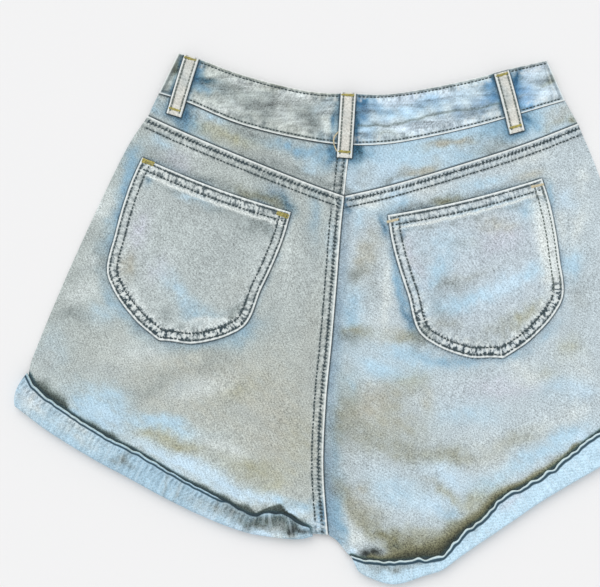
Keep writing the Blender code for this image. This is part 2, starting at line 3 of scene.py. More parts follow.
import bpy
import numpy as np
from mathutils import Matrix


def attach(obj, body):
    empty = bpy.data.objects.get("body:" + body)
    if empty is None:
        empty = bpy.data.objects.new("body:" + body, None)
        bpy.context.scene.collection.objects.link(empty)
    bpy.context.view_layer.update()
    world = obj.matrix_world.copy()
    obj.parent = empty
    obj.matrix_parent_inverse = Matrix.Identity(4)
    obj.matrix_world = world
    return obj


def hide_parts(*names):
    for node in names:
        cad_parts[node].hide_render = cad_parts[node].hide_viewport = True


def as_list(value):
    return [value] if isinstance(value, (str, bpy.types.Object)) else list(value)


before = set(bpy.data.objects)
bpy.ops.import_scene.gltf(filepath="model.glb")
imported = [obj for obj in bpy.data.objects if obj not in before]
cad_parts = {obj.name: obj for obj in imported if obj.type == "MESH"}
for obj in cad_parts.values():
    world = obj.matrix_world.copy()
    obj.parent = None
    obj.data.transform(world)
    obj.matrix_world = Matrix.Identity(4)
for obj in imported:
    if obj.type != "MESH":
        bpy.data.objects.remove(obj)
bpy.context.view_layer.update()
mm = 0.001
farAway = 50.0  # a distance, in millimetres, at which an edge leaves no mark


# Sizes of the garment, in millimetres, as its solids have them
outline = {
    # waist x, y | foot of the band x, y | yoke seam x, y, from the left side to the right
    "upper": (
        (-148.6, 238.7, -166.2, 202.7, -175.8, 182.4),
        (-129.2, 233.0, -142.3, 195.1, -150.0, 170.5),
        (-93.2, 219.7, -93.2, 174.9, -95.0, 147.2),
        (-30.2, 204.2, -30.2, 160.0, -30.2, 121.4),
        (5.8, 202.3, 5.8, 156.0, 0.8, 110.2),
        (41.9, 202.0, 41.9, 157.2, 41.9, 119.8),
        (113.9, 214.9, 113.9, 171.5, 113.9, 141.1),
        (149.7, 224.5, 159.4, 184.2, 163.0, 157.0),
        (183.2, 232.3, 199.3, 196.1, 210.9, 175.6),
    ),
    "centreRow": 4,
    # left side x, y | centre seam x, y | right side x, y, from the yoke seam down
    "down": (
        (-175.8, 182.4, 0.8, 110.2, 210.9, 175.6),
        (-191.2, 160.7, -2.2, 82.0, 222.5, 150.0),
        (-226.8, 88.7, -6.2, 30.0, 242.5, 95.0),
        (-259.0, 16.7, -10.6, -22.0, 262.5, 25.0),
        (-277.4, -28.4, -15.5, -73.0, 276.5, -30.0),
        (-281.5, -40.0, -18.0, -135.0, 281.5, -50.0),
    ),
    # upper edge x, y | fold x, y of the turned-up end, from the side seam inwards
    "leftLeg": (
        (-285.3, -51.1, -295.3, -79.3),
        (-277.4, -64.2, -286.5, -86.0),
        (-255.4, -81.4, -265.5, -101.5),
        (-210.7, -109.8, -220.5, -129.0),
        (-187.9, -121.0, -197.5, -141.2),
        (-146.3, -145.8, -156.5, -163.5),
        (-110.3, -164.7, -118.5, -181.3),
        (-81.4, -179.5, -86.5, -192.7),
        (-64.9, -176.7, -62.0, -197.0),
        (-50.1, -179.9, -47.5, -198.4),
        (-41.0, -185.9, -36.0, -198.0),
        (-31.0, -189.6, -28.6, -196.2),
        (-14.0, -194.6, -13.0, -197.5),
    ),
    "rightLeg": (
        (284.9, -64.4, 295.7, -92.3),
        (250.0, -89.4, 262.5, -113.1),
        (216.8, -113.2, 229.5, -134.2),
        (186.9, -137.1, 199.0, -151.9),
        (164.9, -150.8, 174.0, -167.2),
        (141.9, -162.8, 153.5, -181.3),
        (127.3, -179.4, 136.0, -193.2),
        (111.2, -191.3, 119.0, -204.6),
        (95.8, -207.3, 102.5, -216.2),
        (86.9, -215.5, 89.0, -226.0),
        (73.3, -216.6, 74.0, -231.0),
        (45.0, -219.6, 45.0, -239.0),
        (16.7, -217.5, 20.5, -231.8),
        (7.4, -214.6, 13.5, -227.5),
    ),
    "crotch": (-14.0, -194.6),
    "inseam": ((-14.0, -194.6), (-7.0, -199.2), (-0.5, -206.6), (4.6, -212.6)),
}

# How the layers lie on each other
stack = {
    "cloth": 1.4, "band": 2.3, "cuff": 2.4, "loop": 2.2, "pocket": 1.5,
    "gap": 0.3, "pocketGap": 0.5, "seamPull": 0.2,
    "cuffLift": 2.7, "bandLift": 2.7, "bandStep": 0.45, "liftRun": 30.0, "loopFoot": 13.0,
    "puff": 1.0, "puffLeast": 0.4, "puffLimit": 3.4, "puffBlend": 0.3,
    "sideRun": 30.0, "inseamRun": 14.0,
    "rim": 0.8, "rimThin": 0.55, "nose": 2.2, "endWall": 2.4, "wallClear": 0.6, "tuckClear": 0.6,
    "crotchShare": 0.9,
}

# Soft folds of the upper layer: x1, y1, x2, y2, width, height
folds = (
    (-236, -72, -110, -140, 13, 1.5), (-110, -140, -60, -158, 11, 1.3), (-268, -66, -246, -78, 9, -1.2),
    (-240, -10, -150, -75, 22, 0.7), (-176, -95, -120, -115, 12, -0.8), (-60, -20, -50, -110, 24, 0.8),
    (-52, -160, -58, -170, 7, 1.6), (-10, -155, 52, -209, 11, -1.9), (52, -209, 112, -180, 11, -1.9),
    (112, -180, 215, -104, 9, -1.4), (6, -190, 34, -214, 8, 1.2), (74, -158, 104, -170, 14, 1.5),
    (72, -140, 110, -170, 9, -1), (110, -132, 218, -72, 15, 1.5), (90, -70, 215, -25, 24, 0.9),
    (30, -20, 24, -120, 24, 0.8), (-196, 140, -226, 60, 12, 0.7), (216, 125, 240, 60, 12, 0.7),
)


# Curves and plans

def onSpline(points, at):
    # a smooth curve through the points, read at row numbers that may be fractions
    points = np.asarray(points, float)
    padded = np.vstack([2 * points[0] - points[1], points, 2 * points[-1] - points[-2]])
    gaps = np.sqrt(np.maximum(np.linalg.norm(np.diff(padded, axis=0), axis=1), 1e-6))
    knots = np.concatenate([[0.0], np.cumsum(gaps)])
    at = np.atleast_1d(np.asarray(at, float))
    row = np.clip(at.astype(int), 0, len(points) - 2)
    t0, t1, t2, t3 = (knots[row + k] for k in range(4))
    p0, p1, p2, p3 = (padded[row + k] for k in range(4))
    t = t1 + (t2 - t1) * (at - row)

    def mix(a, b, ta, tb):
        return a + (b - a) * ((t - ta) / (tb - ta))[:, None]

    a1, a2, a3 = mix(p0, p1, t0, t1), mix(p1, p2, t1, t2), mix(p2, p3, t2, t3)
    return mix(mix(a1, a2, t0, t2), mix(a2, a3, t1, t3), t1, t2)


def evenRows(curves, first, last, shares):
    # row numbers at even distances along curves that run side by side
    fine = np.linspace(first, last, 400)
    length = sum(travel(onSpline(points, fine)) for points in curves)
    return np.interp(np.asarray(shares) * length[-1], length, fine)


def onEdge(points, shares):
    return onSpline(points, evenRows([points], 0, len(points) - 1, shares))


def finer(points, count):
    return onSpline(points, np.linspace(0, len(points) - 1, count))


def coons(top, bottom, outer, inner, across, down):
    # a grid between four edges that share their corners
    u = np.asarray(across)[None, :, None]
    v = np.asarray(down)[:, None, None]
    ruled = (1 - v) * top[None] + v * bottom[None]
    lofted = (1 - u) * outer[:, None] + u * inner[:, None]
    corners = ((1 - u) * (1 - v) * top[0] + u * (1 - v) * top[-1]
               + (1 - u) * v * bottom[0] + u * v * bottom[-1])
    return ruled + lofted - corners


def travel(line):
    # distance along a line at each of its points
    return np.concatenate([[0.0], np.cumsum(np.linalg.norm(np.diff(line, axis=0), axis=1))])


def placeAt(line, at):
    along = travel(line)
    return np.column_stack([np.interp(at, along, line[:, k]) for k in (0, 1)])


def part(line, first, last, count=160):
    # the stretch of a line between two distances; the last one counts from the end if it is negative
    end = travel(line)[-1] + last if last <= 0 else last
    return placeAt(line, np.linspace(first, end, count))


def nearest(points, line):
    # distance of each point from a line of straight steps, and how far along the line that is
    best = np.full(points.shape[:-1], 1e9)
    along = np.zeros(points.shape[:-1])
    travelled = 0.0
    for start, end in zip(line[:-1], line[1:]):
        step = end - start
        size = max(math.hypot(*step), 1e-6)
        share = np.clip((points - start) @ step / (size * size), 0, 1)
        away = np.hypot(points[..., 0] - start[0] - share * step[0],
                        points[..., 1] - start[1] - share * step[1])
        closer = away < best
        best = np.where(closer, away, best)
        along = np.where(closer, travelled + share * size, along)
        travelled += size
    return best, along


def awayFrom(points, *lines):
    return np.min([nearest(points, line)[0] for line in lines], axis=0)


def beside(line, offset):
    # the line moved sideways: to the left of its direction by the offset
    step = np.gradient(line, axis=0)
    step /= np.linalg.norm(step, axis=1, keepdims=True)
    return line + np.column_stack([-step[:, 1], step[:, 0]]) * offset


def ease(share):
    share = np.clip(share, 0, 1)
    return share * share * (3 - 2 * share)


def bell(away, width):
    return np.exp(-(away / width) ** 2)


def wander(points, size, seed):
    # a smooth irregular field between about -1 and 1, with lumps of the given size
    random = np.random.default_rng(seed)
    total = np.zeros(points.shape[:-1])
    for _ in range(7):
        turn = random.uniform(0, math.pi)
        wave = 2 * math.pi / (size * random.uniform(0.7, 1.9))
        ray = points[..., 0] * math.cos(turn) + points[..., 1] * math.sin(turn)
        total += np.sin(ray * wave + random.uniform(0, 2 * math.pi))
    return total / 3


def wanderAlong(run, away, squeeze, size, seed):
    # the same along an edge, with lumps drawn out across it
    return wander(np.stack([run, away * squeeze], -1), size, seed)


def stray(points, size, reach, seed):
    # small moves that give what is laid out by the points uneven edges
    return np.stack([wander(points, size, seed), wander(points, size, seed + 1)], -1) * reach


def ridges(points, table):
    # soft ridges and troughs along straight lines
    height = np.zeros(points.shape[:-1])
    for x1, y1, x2, y2, width, rise in table:
        height += rise * bell(awayFrom(points, np.array([(x1, y1), (x2, y2)])), width)
    return height


def sharesOf(length, coarse, first=0.0, last=0.0, fine=0.8):
    # shares of a width, with finer steps near either end
    middle = length - first - last
    parts = [np.linspace(0, first, max(int(first / fine), 1) + 1)[:-1] if first else [],
             first + np.linspace(0, middle, max(int(middle / coarse), 2) + 1),
             (length - last + np.linspace(0, last, max(int(last / fine), 1) + 1)[1:]) if last else []]
    return np.concatenate(parts) / length


upper = np.array(outline["upper"])
waistLine, footLine, yokeLine = upper[:, 0:2], upper[:, 2:4], upper[:, 4:6]
lastRow, centreRow = len(upper) - 1, outline["centreRow"]
down = np.array(outline["down"])
centreBack = np.vstack([down[:, 2:4], [outline["crotch"]]])
inseamLine = np.array(outline["inseam"])
waistFine, footFine = finer(waistLine, 80), finer(footLine, 80)


def yokeSeam(rows):
    # it has a corner at the centre back
    left = onSpline(yokeLine[:centreRow + 1], np.minimum(rows, centreRow))
    right = onSpline(yokeLine[centreRow:], np.maximum(rows - centreRow, 0))
    return np.where((rows <= centreRow)[:, None], left, right)


def makeHalf(name, sideColumns, firstRow):
    table = np.array(outline[name + "Leg"])
    half = {"name": name, "edge": table[:, 0:2], "fold": table[:, 2:4], "firstRow": firstRow,
            "side": down[:, sideColumns], "inseam": name == "right"}
    half["length"] = travel(finer(half["edge"], 400))[-1]
    half["hem"] = hemAt(half, np.linspace(0, 1, 60))[0]
    side = onEdge(np.vstack([half["side"], half["hem"][0]]), np.linspace(0, 1, 20))
    yokeSide = yokePlan(half, np.array([0.0]), np.linspace(0, 1, 4))[:, 0]
    half["outside"] = np.vstack([waistLine[firstRow], yokeSide, side, half["fold"][0]])
    return half


def hemAt(half, shares):
    rows = evenRows([half["edge"]], 0, len(half["edge"]) - 1, shares)
    return onSpline(half["edge"], rows), onSpline(half["fold"], rows)


def stationsOf(half, across):
    first = (stack["endWall"] + stack["wallClear"]) / half["length"]
    last = 1 - first if half["inseam"] else 1.0
    return first + (last - first) * across


def yokePlan(half, across, downShares):
    rows = evenRows([yokeLine], half["firstRow"], centreRow, across)
    top, bottom = onSpline(footLine, rows), yokeSeam(rows)
    v = downShares[:, None, None]
    return top[None] * (1 - v) + bottom[None] * v


def legPlan(half, across, downShares):
    top = yokePlan(half, across, np.array([1.0]))[0]
    hem = hemAt(half, stationsOf(half, across))[0]
    side = onEdge(np.vstack([half["side"], hem[0]]), downShares)
    inner = onEdge(centreBack, downShares)
    if half["inseam"]:
        share = stack["crotchShare"]
        above = onEdge(centreBack, np.minimum(downShares / share, 1))
        below = onEdge(np.vstack([inseamLine, hem[-1]]), np.clip((downShares - share) / (1 - share), 0, 1))
        inner = np.where((downShares <= share)[:, None], above, below)
    return coons(top, hem, side, inner, across, downShares)


def tuckPlan(half, across, shares=(0.5, 1.0)):
    # rows of the leg inside its turned-up end
    edge, fold = hemAt(half, stationsOf(half, across))
    step = fold - edge
    width = np.linalg.norm(step, axis=1, keepdims=True)
    depth = (width - stack["nose"] - stack["tuckClear"]) / width
    return np.array([edge + step * depth * share for share in shares])


left = makeHalf("left", slice(0, 2), 0)
right = makeHalf("right", slice(4, 6), lastRow)
halves = (left, right)
centreFine = onEdge(centreBack, np.linspace(0, 1, 60))
seamFine = yokeSeam(evenRows([yokeLine], 0, lastRow, np.linspace(0, 1, 120)))
yokeCentre = np.array([footLine[centreRow], yokeLine[centreRow]])


# Heights

def hemAway(points):
    return awayFrom(points, left["hem"], right["hem"])


def liftAt(points):
    overCuff = stack["cuffLift"] * ease(1 - hemAway(points) / stack["liftRun"])
    pastLoops = awayFrom(points, footFine) - stack["loopFoot"]
    underBand = (stack["bandLift"] + stack["bandStep"]) * ease(1 - pastLoops / stack["liftRun"])
    return np.maximum(overCuff, underBand)


def flatAtSides(points, run):
    return math.prod(ease(awayFrom(points, half["outside"]) / run) for half in halves)


def puffAt(points):
    above = stack["puff"] + ridges(points, folds) - stack["puffLeast"]
    height = stack["puffLeast"] + 0.5 * (above + np.sqrt(above * above + stack["puffBlend"] ** 2))
    height = stack["puffLimit"] * np.tanh(height / stack["puffLimit"])
    height = height * flatAtSides(points, stack["sideRun"])
    return height * ease(awayFrom(points, inseamLine) / stack["inseamRun"])


def frontInner(points, tucked=0):
    height = liftAt(points)
    if tucked:
        height[-tucked:] = stack["cuffLift"]
    return height + stack["cloth"]


def backInner(points, tucked=0):
    return frontInner(points, tucked) + stack["gap"] + puffAt(points)


def bandInner(points):
    return stack["bandLift"] + stack["band"] + stack["gap"] + puffAt(points)


# Finishes

def unscreen(share):
    # brightness from 0 to 1 as the screen shows it, made linear
    return np.where(share <= 0.04045, share / 12.92, ((share + 0.055) / 1.055) ** 2.4)


def linear(red, green, blue):
    return tuple(unscreen(np.array([red, green, blue]) / 255)) + (1.0,)


def addNode(tree, kind, inputs=None, **settings):
    made = tree.nodes.new("ShaderNode" + kind)
    for key, value in settings.items():
        setattr(made, key, value)
    for key, value in (inputs or {}).items():
        if isinstance(value, bpy.types.NodeSocket):
            tree.links.new(value, made.inputs[key])
        else:
            made.inputs[key].default_value = value
    return made


def addMath(tree, operation, *values):
    return addNode(tree, "Math", dict(enumerate(values)), operation=operation).outputs[0]


def addMix(tree, share, first, second):
    return addNode(tree, "Mix", {0: share, 6: first, 7: second}, data_type="RGBA").outputs[2]


def addRange(tree, value, low, high, outLow=0.0, outHigh=1.0):
    return addNode(tree, "MapRange", {0: value, 1: low, 2: high, 3: outLow, 4: outHigh}).outputs[0]


def newMaterial(name, roughness):
    material = bpy.data.materials.new(name)
    material.use_nodes = True
    shader = material.node_tree.nodes["Principled BSDF"]
    shader.inputs["Roughness"].default_value = roughness
    return material, material.node_tree, shader


denim = {
    "grain": 900.0, "mottle": 120.0, "cloud": 22.0, "twill": 1050.0, "streak": 60.0,
    "grainShare": 2.1, "slubShare": 0.4, "mottleShare": 0.38, "cloudShare": 0.26, "twillShare": 0.1,
    "streakShare": 0.0, "darkGrain": 1.9, "blueGrain": 0.6,
    # pale is the worn crests; dark is the unfaded hollows and the painted shade along rows, ticks and contacts
    "pale": (226, 232, 230), "dark": (54, 70, 78),
    "ridgePale": (238, 244, 243),
    "sheen": 0.1, "roughness": 0.88, "bump": 0.4,
    # what the seams leave, worn pale marks and painted shade: widths in millimetres from the sewn edge, and how
    # strong each mark is
    "ridge": 2.1, "ridgeShare": 0.85, "contact": 0.75, "tick": 0.0, "tickAt": ((2.4, 6.6),),
    "tickPitch": 3.4,
    "rope": 13.0, "ropePitch": 3.2, "ropeStretch": 0.4, "ropeDark": 0.45, "ropePale": 0.5, "ropeEdge": 0.17,
    "rows": (), "rowDark": 0.55, "rowPatchy": (0.64, 0.42), "rowWide": (0.6, 1.9),
}


def washedDenim(name, turn, **changes):
    # faded twill: the wash attribute says where it is pale, blue, khaki or dark, from wear and from painted
    # light and shade;
    # the seam attribute holds the distance along the nearest sewn edge, the distance from it and from what lies
    # on the cloth, beside which a contact shadow is painted
    look = dict(denim, **changes)
    material, tree, shader = newMaterial(name, look["roughness"])
    shader.inputs["Sheen Weight"].default_value = look["sheen"]
    shader.inputs["Sheen Roughness"].default_value = 0.6
    shader.inputs["Specular IOR Level"].default_value = 0.25
    place = addNode(tree, "TexCoord").outputs["Object"]
    turned = addNode(tree, "Mapping", {"Vector": place, "Rotation": (0, 0, math.radians(turn))}).outputs[0]
    wash = addNode(tree, "Attribute", attribute_name="wash").outputs
    seam = addNode(tree, "Attribute", attribute_name="seam").outputs["Vector"]
    run, away, contact = addNode(tree, "SeparateXYZ", {"Vector": seam}).outputs[:3]

    def calc(operation, *values):
        return addMath(tree, operation, *values)

    def ramp(value, *ends):
        return addRange(tree, value, *ends)

    def noise(scale, detail, roughness, stretch=(1, 1, 1)):
        sized = addNode(tree, "Mapping", {"Vector": turned, "Scale": stretch}).outputs[0]
        return addNode(tree, "TexNoise", {"Vector": sized, "Scale": scale, "Detail": detail,
                                          "Roughness": roughness}).outputs["Fac"]

    def around(value, amount):
        return calc("MULTIPLY", calc("SUBTRACT", value, 0.5), amount)

    def times(*values):
        total = values[0]
        for value in values[1:]:
            total = calc("MULTIPLY", total, value)
        return total

    grain = noise(look["grain"], 2.0, 0.6)
    slub = noise(look["grain"] * 0.5, 2.0, 0.6, (1.5, 0.3, 1))
    mottle = noise(look["mottle"], 3.0, 0.6)
    cloud = noise(look["cloud"], 3.0, 0.55)
    streak = noise(look["streak"], 3.0, 0.6, (2.6, 0.45, 1))
    twill = addNode(tree, "TexWave", {"Vector": turned, "Scale": look["twill"] / 6.2832, "Distortion": 1.2,
                                      "Detail": 2.0, "Detail Scale": 1.0}, bands_direction="DIAGONAL")
    twill = twill.outputs["Fac"]
    red, green, blue = addNode(tree, "SeparateColor", {0: wash["Color"]}).outputs[:3]
    depth = ramp(green, 0.1, 0.42, look["darkGrain"], 1.0)
    speckle = times(depth, ramp(calc("SUBTRACT", blue, red), 0.1, 0.32, 1.0, look["blueGrain"]))
    tone = calc("ADD", around(grain, look["grainShare"]), around(slub, look["slubShare"]))
    tone = times(tone, speckle)
    for value, share in ((mottle, "mottleShare"), (cloud, "cloudShare"), (twill, "twillShare"),
                         (streak, "streakShare")):
        tone = calc("ADD", tone, around(value, look[share]))
    tone = calc("MAXIMUM", calc("ADD", tone, 1.0), 0.2)
    colour = addNode(tree, "VectorMath", {0: wash["Color"], "Scale": tone}, operation="SCALE").outputs[0]

    # puckers across the sewn edges, worn pale on top, and dark between from unfaded dye and painted shade
    across = addNode(tree, "CombineXYZ", {0: run, 1: calc("MULTIPLY", away, look["ropeStretch"])}).outputs[0]
    rope = addNode(tree, "TexNoise", {"Vector": across, "Scale": 1 / look["ropePitch"], "Detail": 2.5,
                                      "Roughness": 0.6}).outputs["Fac"]
    pull = wash["Alpha"]
    zone = times(ramp(away, look["rope"] * 0.8, look["rope"] * 1.05, 1.0, 0.0), pull)
    hollow = times(ramp(rope, 0.5, 0.5 - look["ropeEdge"]), zone, look["ropeDark"])
    crest = times(ramp(rope, 0.5, 0.5 + look["ropeEdge"]), zone, look["ropePale"])
    colour = addMix(tree, crest, colour, linear(*look["pale"]))
    faint = ramp(pull, 0.1, 0.3, 0.1, 1.0)
    # painted shade along the given rows, in blots
    for row in look["rows"]:
        off = calc("ABSOLUTE", calc("SUBTRACT", away, row))
        near, blots = ramp(off, *look["rowWide"], 1.0, 0.0), ramp(rope, *look["rowPatchy"])
        hollow = calc("MAXIMUM", hollow, times(near, look["rowDark"], blots, faint))
    colour = addMix(tree, hollow, colour, linear(*look["dark"]))
    if look["tick"]:
        # painted shade in the short creases that the needle draws across a felled seam
        slant = calc("ADD", calc("MULTIPLY_ADD", away, 0.35, run), around(mottle, 3.0))
        beat = calc("SINE", calc("MULTIPLY", slant, 6.2832 / look["tickPitch"]))
        strip = 0.0
        for first, last in look["tickAt"]:
            inside = times(ramp(away, first, first + 0.9), ramp(away, last - 0.9, last, 1.0, 0.0))
            strip = calc("ADD", strip, inside)
        patchy = ramp(rope, 0.66, 0.42, 0.25, 1.0)
        amount = times(ramp(beat, -0.3, 0.45), strip, patchy, pull, look["tick"])
        colour = addMix(tree, amount, colour, linear(*look["dark"]))
    worn = ramp(rope, 0.3, 0.6, 0.75, 1.0)
    edge = times(ramp(away, look["ridge"] - 0.7, look["ridge"], 1.0, 0.0), worn, look["ridgeShare"])
    colour = addMix(tree, edge, colour, linear(*look["ridgePale"]))
    # painted contact shadow beside what lies on the cloth
    contactShadow = times(ramp(contact, 0.7, 1.9, 1.0, 0.0), look["contact"])
    colour = addMix(tree, contactShadow, colour, linear(*look["dark"]))
    tree.links.new(colour, shader.inputs["Base Color"])
    height = calc("ADD", calc("MULTIPLY", grain, 0.6), calc("MULTIPLY", twill, 0.2))
    height = calc("ADD", height, times(rope, zone, 1.2))
    bump = addNode(tree, "Bump", {"Strength": look["bump"], "Distance": 0.0006, "Height": height})
    tree.links.new(bump.outputs[0], shader.inputs["Normal"])
    return material


def speckled(name, roughness, scale, detail, high, dull, bright):
    # two tones of one colour in fine specks
    material, tree, shader = newMaterial(name, roughness)
    place = addNode(tree, "TexCoord").outputs["Object"]
    noise = addNode(tree, "TexNoise", {"Vector": place, "Scale": scale, "Detail": detail}).outputs["Fac"]
    tree.links.new(addMix(tree, addRange(tree, noise, 0.35, high), dull, bright), shader.inputs["Base Color"])
    return material


def threadFinish(name, colour, wear):
    dull = linear(*colour)
    worn = tuple(min(c * wear, 1.0) for c in dull[:3]) + (1.0,)
    return speckled(name, 0.75, 520.0, 2.0, 0.7, dull, worn)


# Making pieces

def washOf(points, patches, base, seed=1):
    # colour of the cloth at each point, from soft patches of wear and of painted light and shade laid over each
    # other
    colour = np.zeros(points.shape[:-1] + (3,)) + base
    loose = points + stray(points, 36, 2.6, seed) + stray(points, 11, 1.2, seed + 2)
    rough = 1 + 0.3 * wander(points, 8, seed + 4)
    for x, y, reach, width, turn, shade, share in patches:
        c, s = math.cos(math.radians(turn)), math.sin(math.radians(turn))
        dx, dy = loose[..., 0] - x, loose[..., 1] - y
        amount = np.exp(-((dx * c + dy * s) / reach) ** 2 - ((dy * c - dx * s) / width) ** 2)
        colour = shadeBy(colour, np.minimum(1.3 * share * amount * rough, 0.97), shade)
    return colour


def shadeBy(colour, amount, shade):
    # the colour moved towards a shade, by a share at each point
    return colour + np.clip(amount, 0, 1)[..., None] * (np.array(shades[shade]) - colour)


def addPiece(name, mesh, material):
    piece = bpy.data.objects.new(name, mesh)
    bpy.context.scene.collection.objects.link(piece)
    mesh.materials.append(material)
    mesh.shade_smooth()
    mesh.set_sharp_from_angle(angle=math.radians(50))
    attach(piece, "root")
    return piece


def clothPiece(name, points, faces, material, wash, seam, pull):
    # the mesh with its colour, whose alpha says how much the rows draw the cloth together
    mesh = bpy.data.meshes.new(name)
    mesh.from_pydata(points * mm, [], faces.tolist())
    rows = np.column_stack([unscreen(np.clip(wash.reshape(-1, 3) / 255, 0, 1)), np.ravel(pull)])
    leaves = (len(points) // len(rows), 1)
    wash = mesh.attributes.new("wash", "FLOAT_COLOR", "POINT").data
    wash.foreach_set("color", np.tile(rows, leaves).ravel())
    marks = mesh.attributes.new("seam", "FLOAT_VECTOR", "POINT").data
    marks.foreach_set("vector", np.tile(seam.reshape(-1, 3), leaves).ravel())
    return addPiece(name, mesh, material)


def stateCut(cut, area=1.0):
    # the solid that the piece stands for is hidden; what it lies on and the flat size that it is cut to are not
    # used
    name, node, slot, (width, length), restsOn = cut
    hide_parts(node)
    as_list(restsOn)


def planArea(grid):
    # flat area of a grid of quads, in square metres
    p, q = grid[1:, 1:] - grid[:-1, :-1], grid[1:, :-1] - grid[:-1, 1:]
    return float(np.abs(p[..., 0] * q[..., 1] - p[..., 1] * q[..., 0]).sum() / 2) * mm * mm


def addSheet(cut, grid, low, top, material, wash, run, away, contact=farAway, pull=1.0):
    # a closed wall of cloth between a lower and an upper leaf
    rows, columns = grid.shape[:2]
    count = rows * columns
    flat = grid.reshape(-1, 2)
    points = np.vstack([np.column_stack([flat, low.ravel()]), np.column_stack([flat, top.ravel()])])
    number = np.arange(count).reshape(rows, columns)
    quad = np.stack([number[:-1, :-1], number[:-1, 1:], number[1:, 1:], number[1:, :-1]], -1).reshape(-1, 4)
    across, along = grid[0, 1] - grid[0, 0], grid[1, 0] - grid[0, 0]
    turned = across[0] * along[1] - across[1] * along[0] > 0
    over, under = (quad, quad[:, ::-1]) if turned else (quad[:, ::-1], quad)
    rim = np.concatenate([number[0, :-1], number[:-1, -1], number[-1, :0:-1], number[:0:-1, 0]])
    ahead = np.roll(rim, -1)
    wall = np.stack([rim, ahead, ahead + count, rim + count], -1)
    if not turned:
        wall = wall[:, ::-1]
    faces = np.vstack([under, over + count, wall])
    _, run, away, contact, pull = np.broadcast_arrays(low, run, away, contact, pull)
    piece = clothPiece(cut[0], points, faces, material, wash, np.stack([run, away, contact], -1), pull)
    stateCut(cut, planArea(grid))


def pullBack(grid, top=False, bottom=False, inner=False, outer=False):
    # a narrow gap at the edges that are sewn to a neighbour
    grid = grid.copy()
    every = slice(None)
    for wanted, edge, neighbour in ((top, 0, 1), (bottom, -1, -2), (inner, (every, -1), (every, -2)),
                                    (outer, (every, 0), (every, 1))):
        if wanted:
            step = grid[neighbour] - grid[edge]
            grid[edge] += step * (stack["seamPull"] / np.linalg.norm(step, axis=-1, keepdims=True))
    return grid


def wallAt(thickness, away, rim=stack["rim"]):
    # how thick the wall is at a distance from its free edge
    share = np.clip(away / rim, 0, 1)
    return thickness * (stack["rimThin"] + (1 - stack["rimThin"]) * np.sqrt(1 - (1 - share) ** 2))


# Sewing

# A felled seam, in millimetres from the edge that is turned down
felled = {"ridge": 1.0, "ridgeRise": 0.35, "fell": 12.0, "fellRise": 0.75, "slope": 1.6,
          "rows": (4.6, 10.4), "valley": 0.3, "valleyWidth": 0.9}


def seamRelief(away, run, seed):
    # cross-section of a felled seam, with the puckers that its rows pull up
    pucker = 0.22 * wanderAlong(run, away, 0.4, 7.5, seed)
    body = felled["fellRise"] * ease((felled["fell"] - away) / felled["slope"])
    ridge = felled["ridgeRise"] * bell(away - felled["ridge"], 0.8)
    rows = sum(felled["valley"] * bell(away - row, felled["valleyWidth"]) for row in felled["rows"])
    return body + ridge - rows + pucker * ease((felled["fell"] + 5 - away) / 6)


runApart = {"yokeCentre": 300, "centreBack": 400, "mouth": 500}  # so that no two edges have the same puckers
stitch = {"pitch": 3.3, "length": 2.7, "width": 1.4, "height": 0.5, "sink": 0.12, "droop": 0.16}


def stitchMesh():
    # one stitch: a small ball drawn out, flattened and sunk at its ends
    bpy.ops.object.select_all(action="DESELECT")
    bpy.ops.mesh.primitive_uv_sphere_add(segments=6, ring_count=5, radius=0.5, rotation=(0, math.pi / 2, 0))
    ball = bpy.context.active_object
    bpy.ops.object.transform_apply(location=False, rotation=True, scale=False)
    points = np.array([v.co for v in ball.data.vertices])
    faces = [tuple(p.vertices) for p in ball.data.polygons]  # these come in no fixed order
    faces = sorted(face[face.index(min(face)):] + face[:face.index(min(face))] for face in faces)
    bpy.data.objects.remove(ball)
    points[:, 0] = np.sign(points[:, 0]) * np.abs(points[:, 0] * 2) ** 0.8 / 2
    points *= (stitch["length"], stitch["width"], stitch["height"])
    points[:, 2] -= stitch["droop"] * (np.abs(points[:, 0]) / (stitch["length"] / 2)) ** 3
    return points, faces


def sewing(name, rows, material):
    # many rows of stitches as one mesh; a row is a line, the height of the cloth along it and its pitch
    one, oneFaces = stitchMesh()
    random = np.random.default_rng(7)
    points, faces = [], []
    for line, heightAt, *pitch in rows:
        pitch = pitch[0] if pitch else stitch["pitch"]
        at = np.arange(pitch / 2, travel(line)[-1], pitch)
        place, step = placeAt(line, at), placeAt(line, at + 0.1) - placeAt(line, at - 0.1)
        place = place + random.normal(0, 0.09, place.shape)
        step /= np.linalg.norm(step, axis=1, keepdims=True)
        half = step * stitch["length"] * 0.4
        slope = (heightAt(place + half) - heightAt(place - half)) / (stitch["length"] * 0.8)
        for (x, y), (cx, sx), height, tilt in zip(place, step, heightAt(place), slope):
            wobble = random.normal(0, 0.05)
            c, s = cx - sx * wobble, sx + cx * wobble
            px, py, pz = one[:, 0] * random.uniform(0.88, 1.1), one[:, 1], one[:, 2]
            start = len(points) * len(one)
            points.append(np.column_stack([x + px * c - py * s, y + px * s + py * c,
                                           height + pz + stitch["sink"] + px * tilt]))
            faces += [tuple(start + k for k in face) for face in oneFaces]
    mesh = bpy.data.meshes.new(name)
    mesh.from_pydata(np.vstack(points) * mm, [], faces)
    addPiece(name, mesh, material)


print("helpers ready")
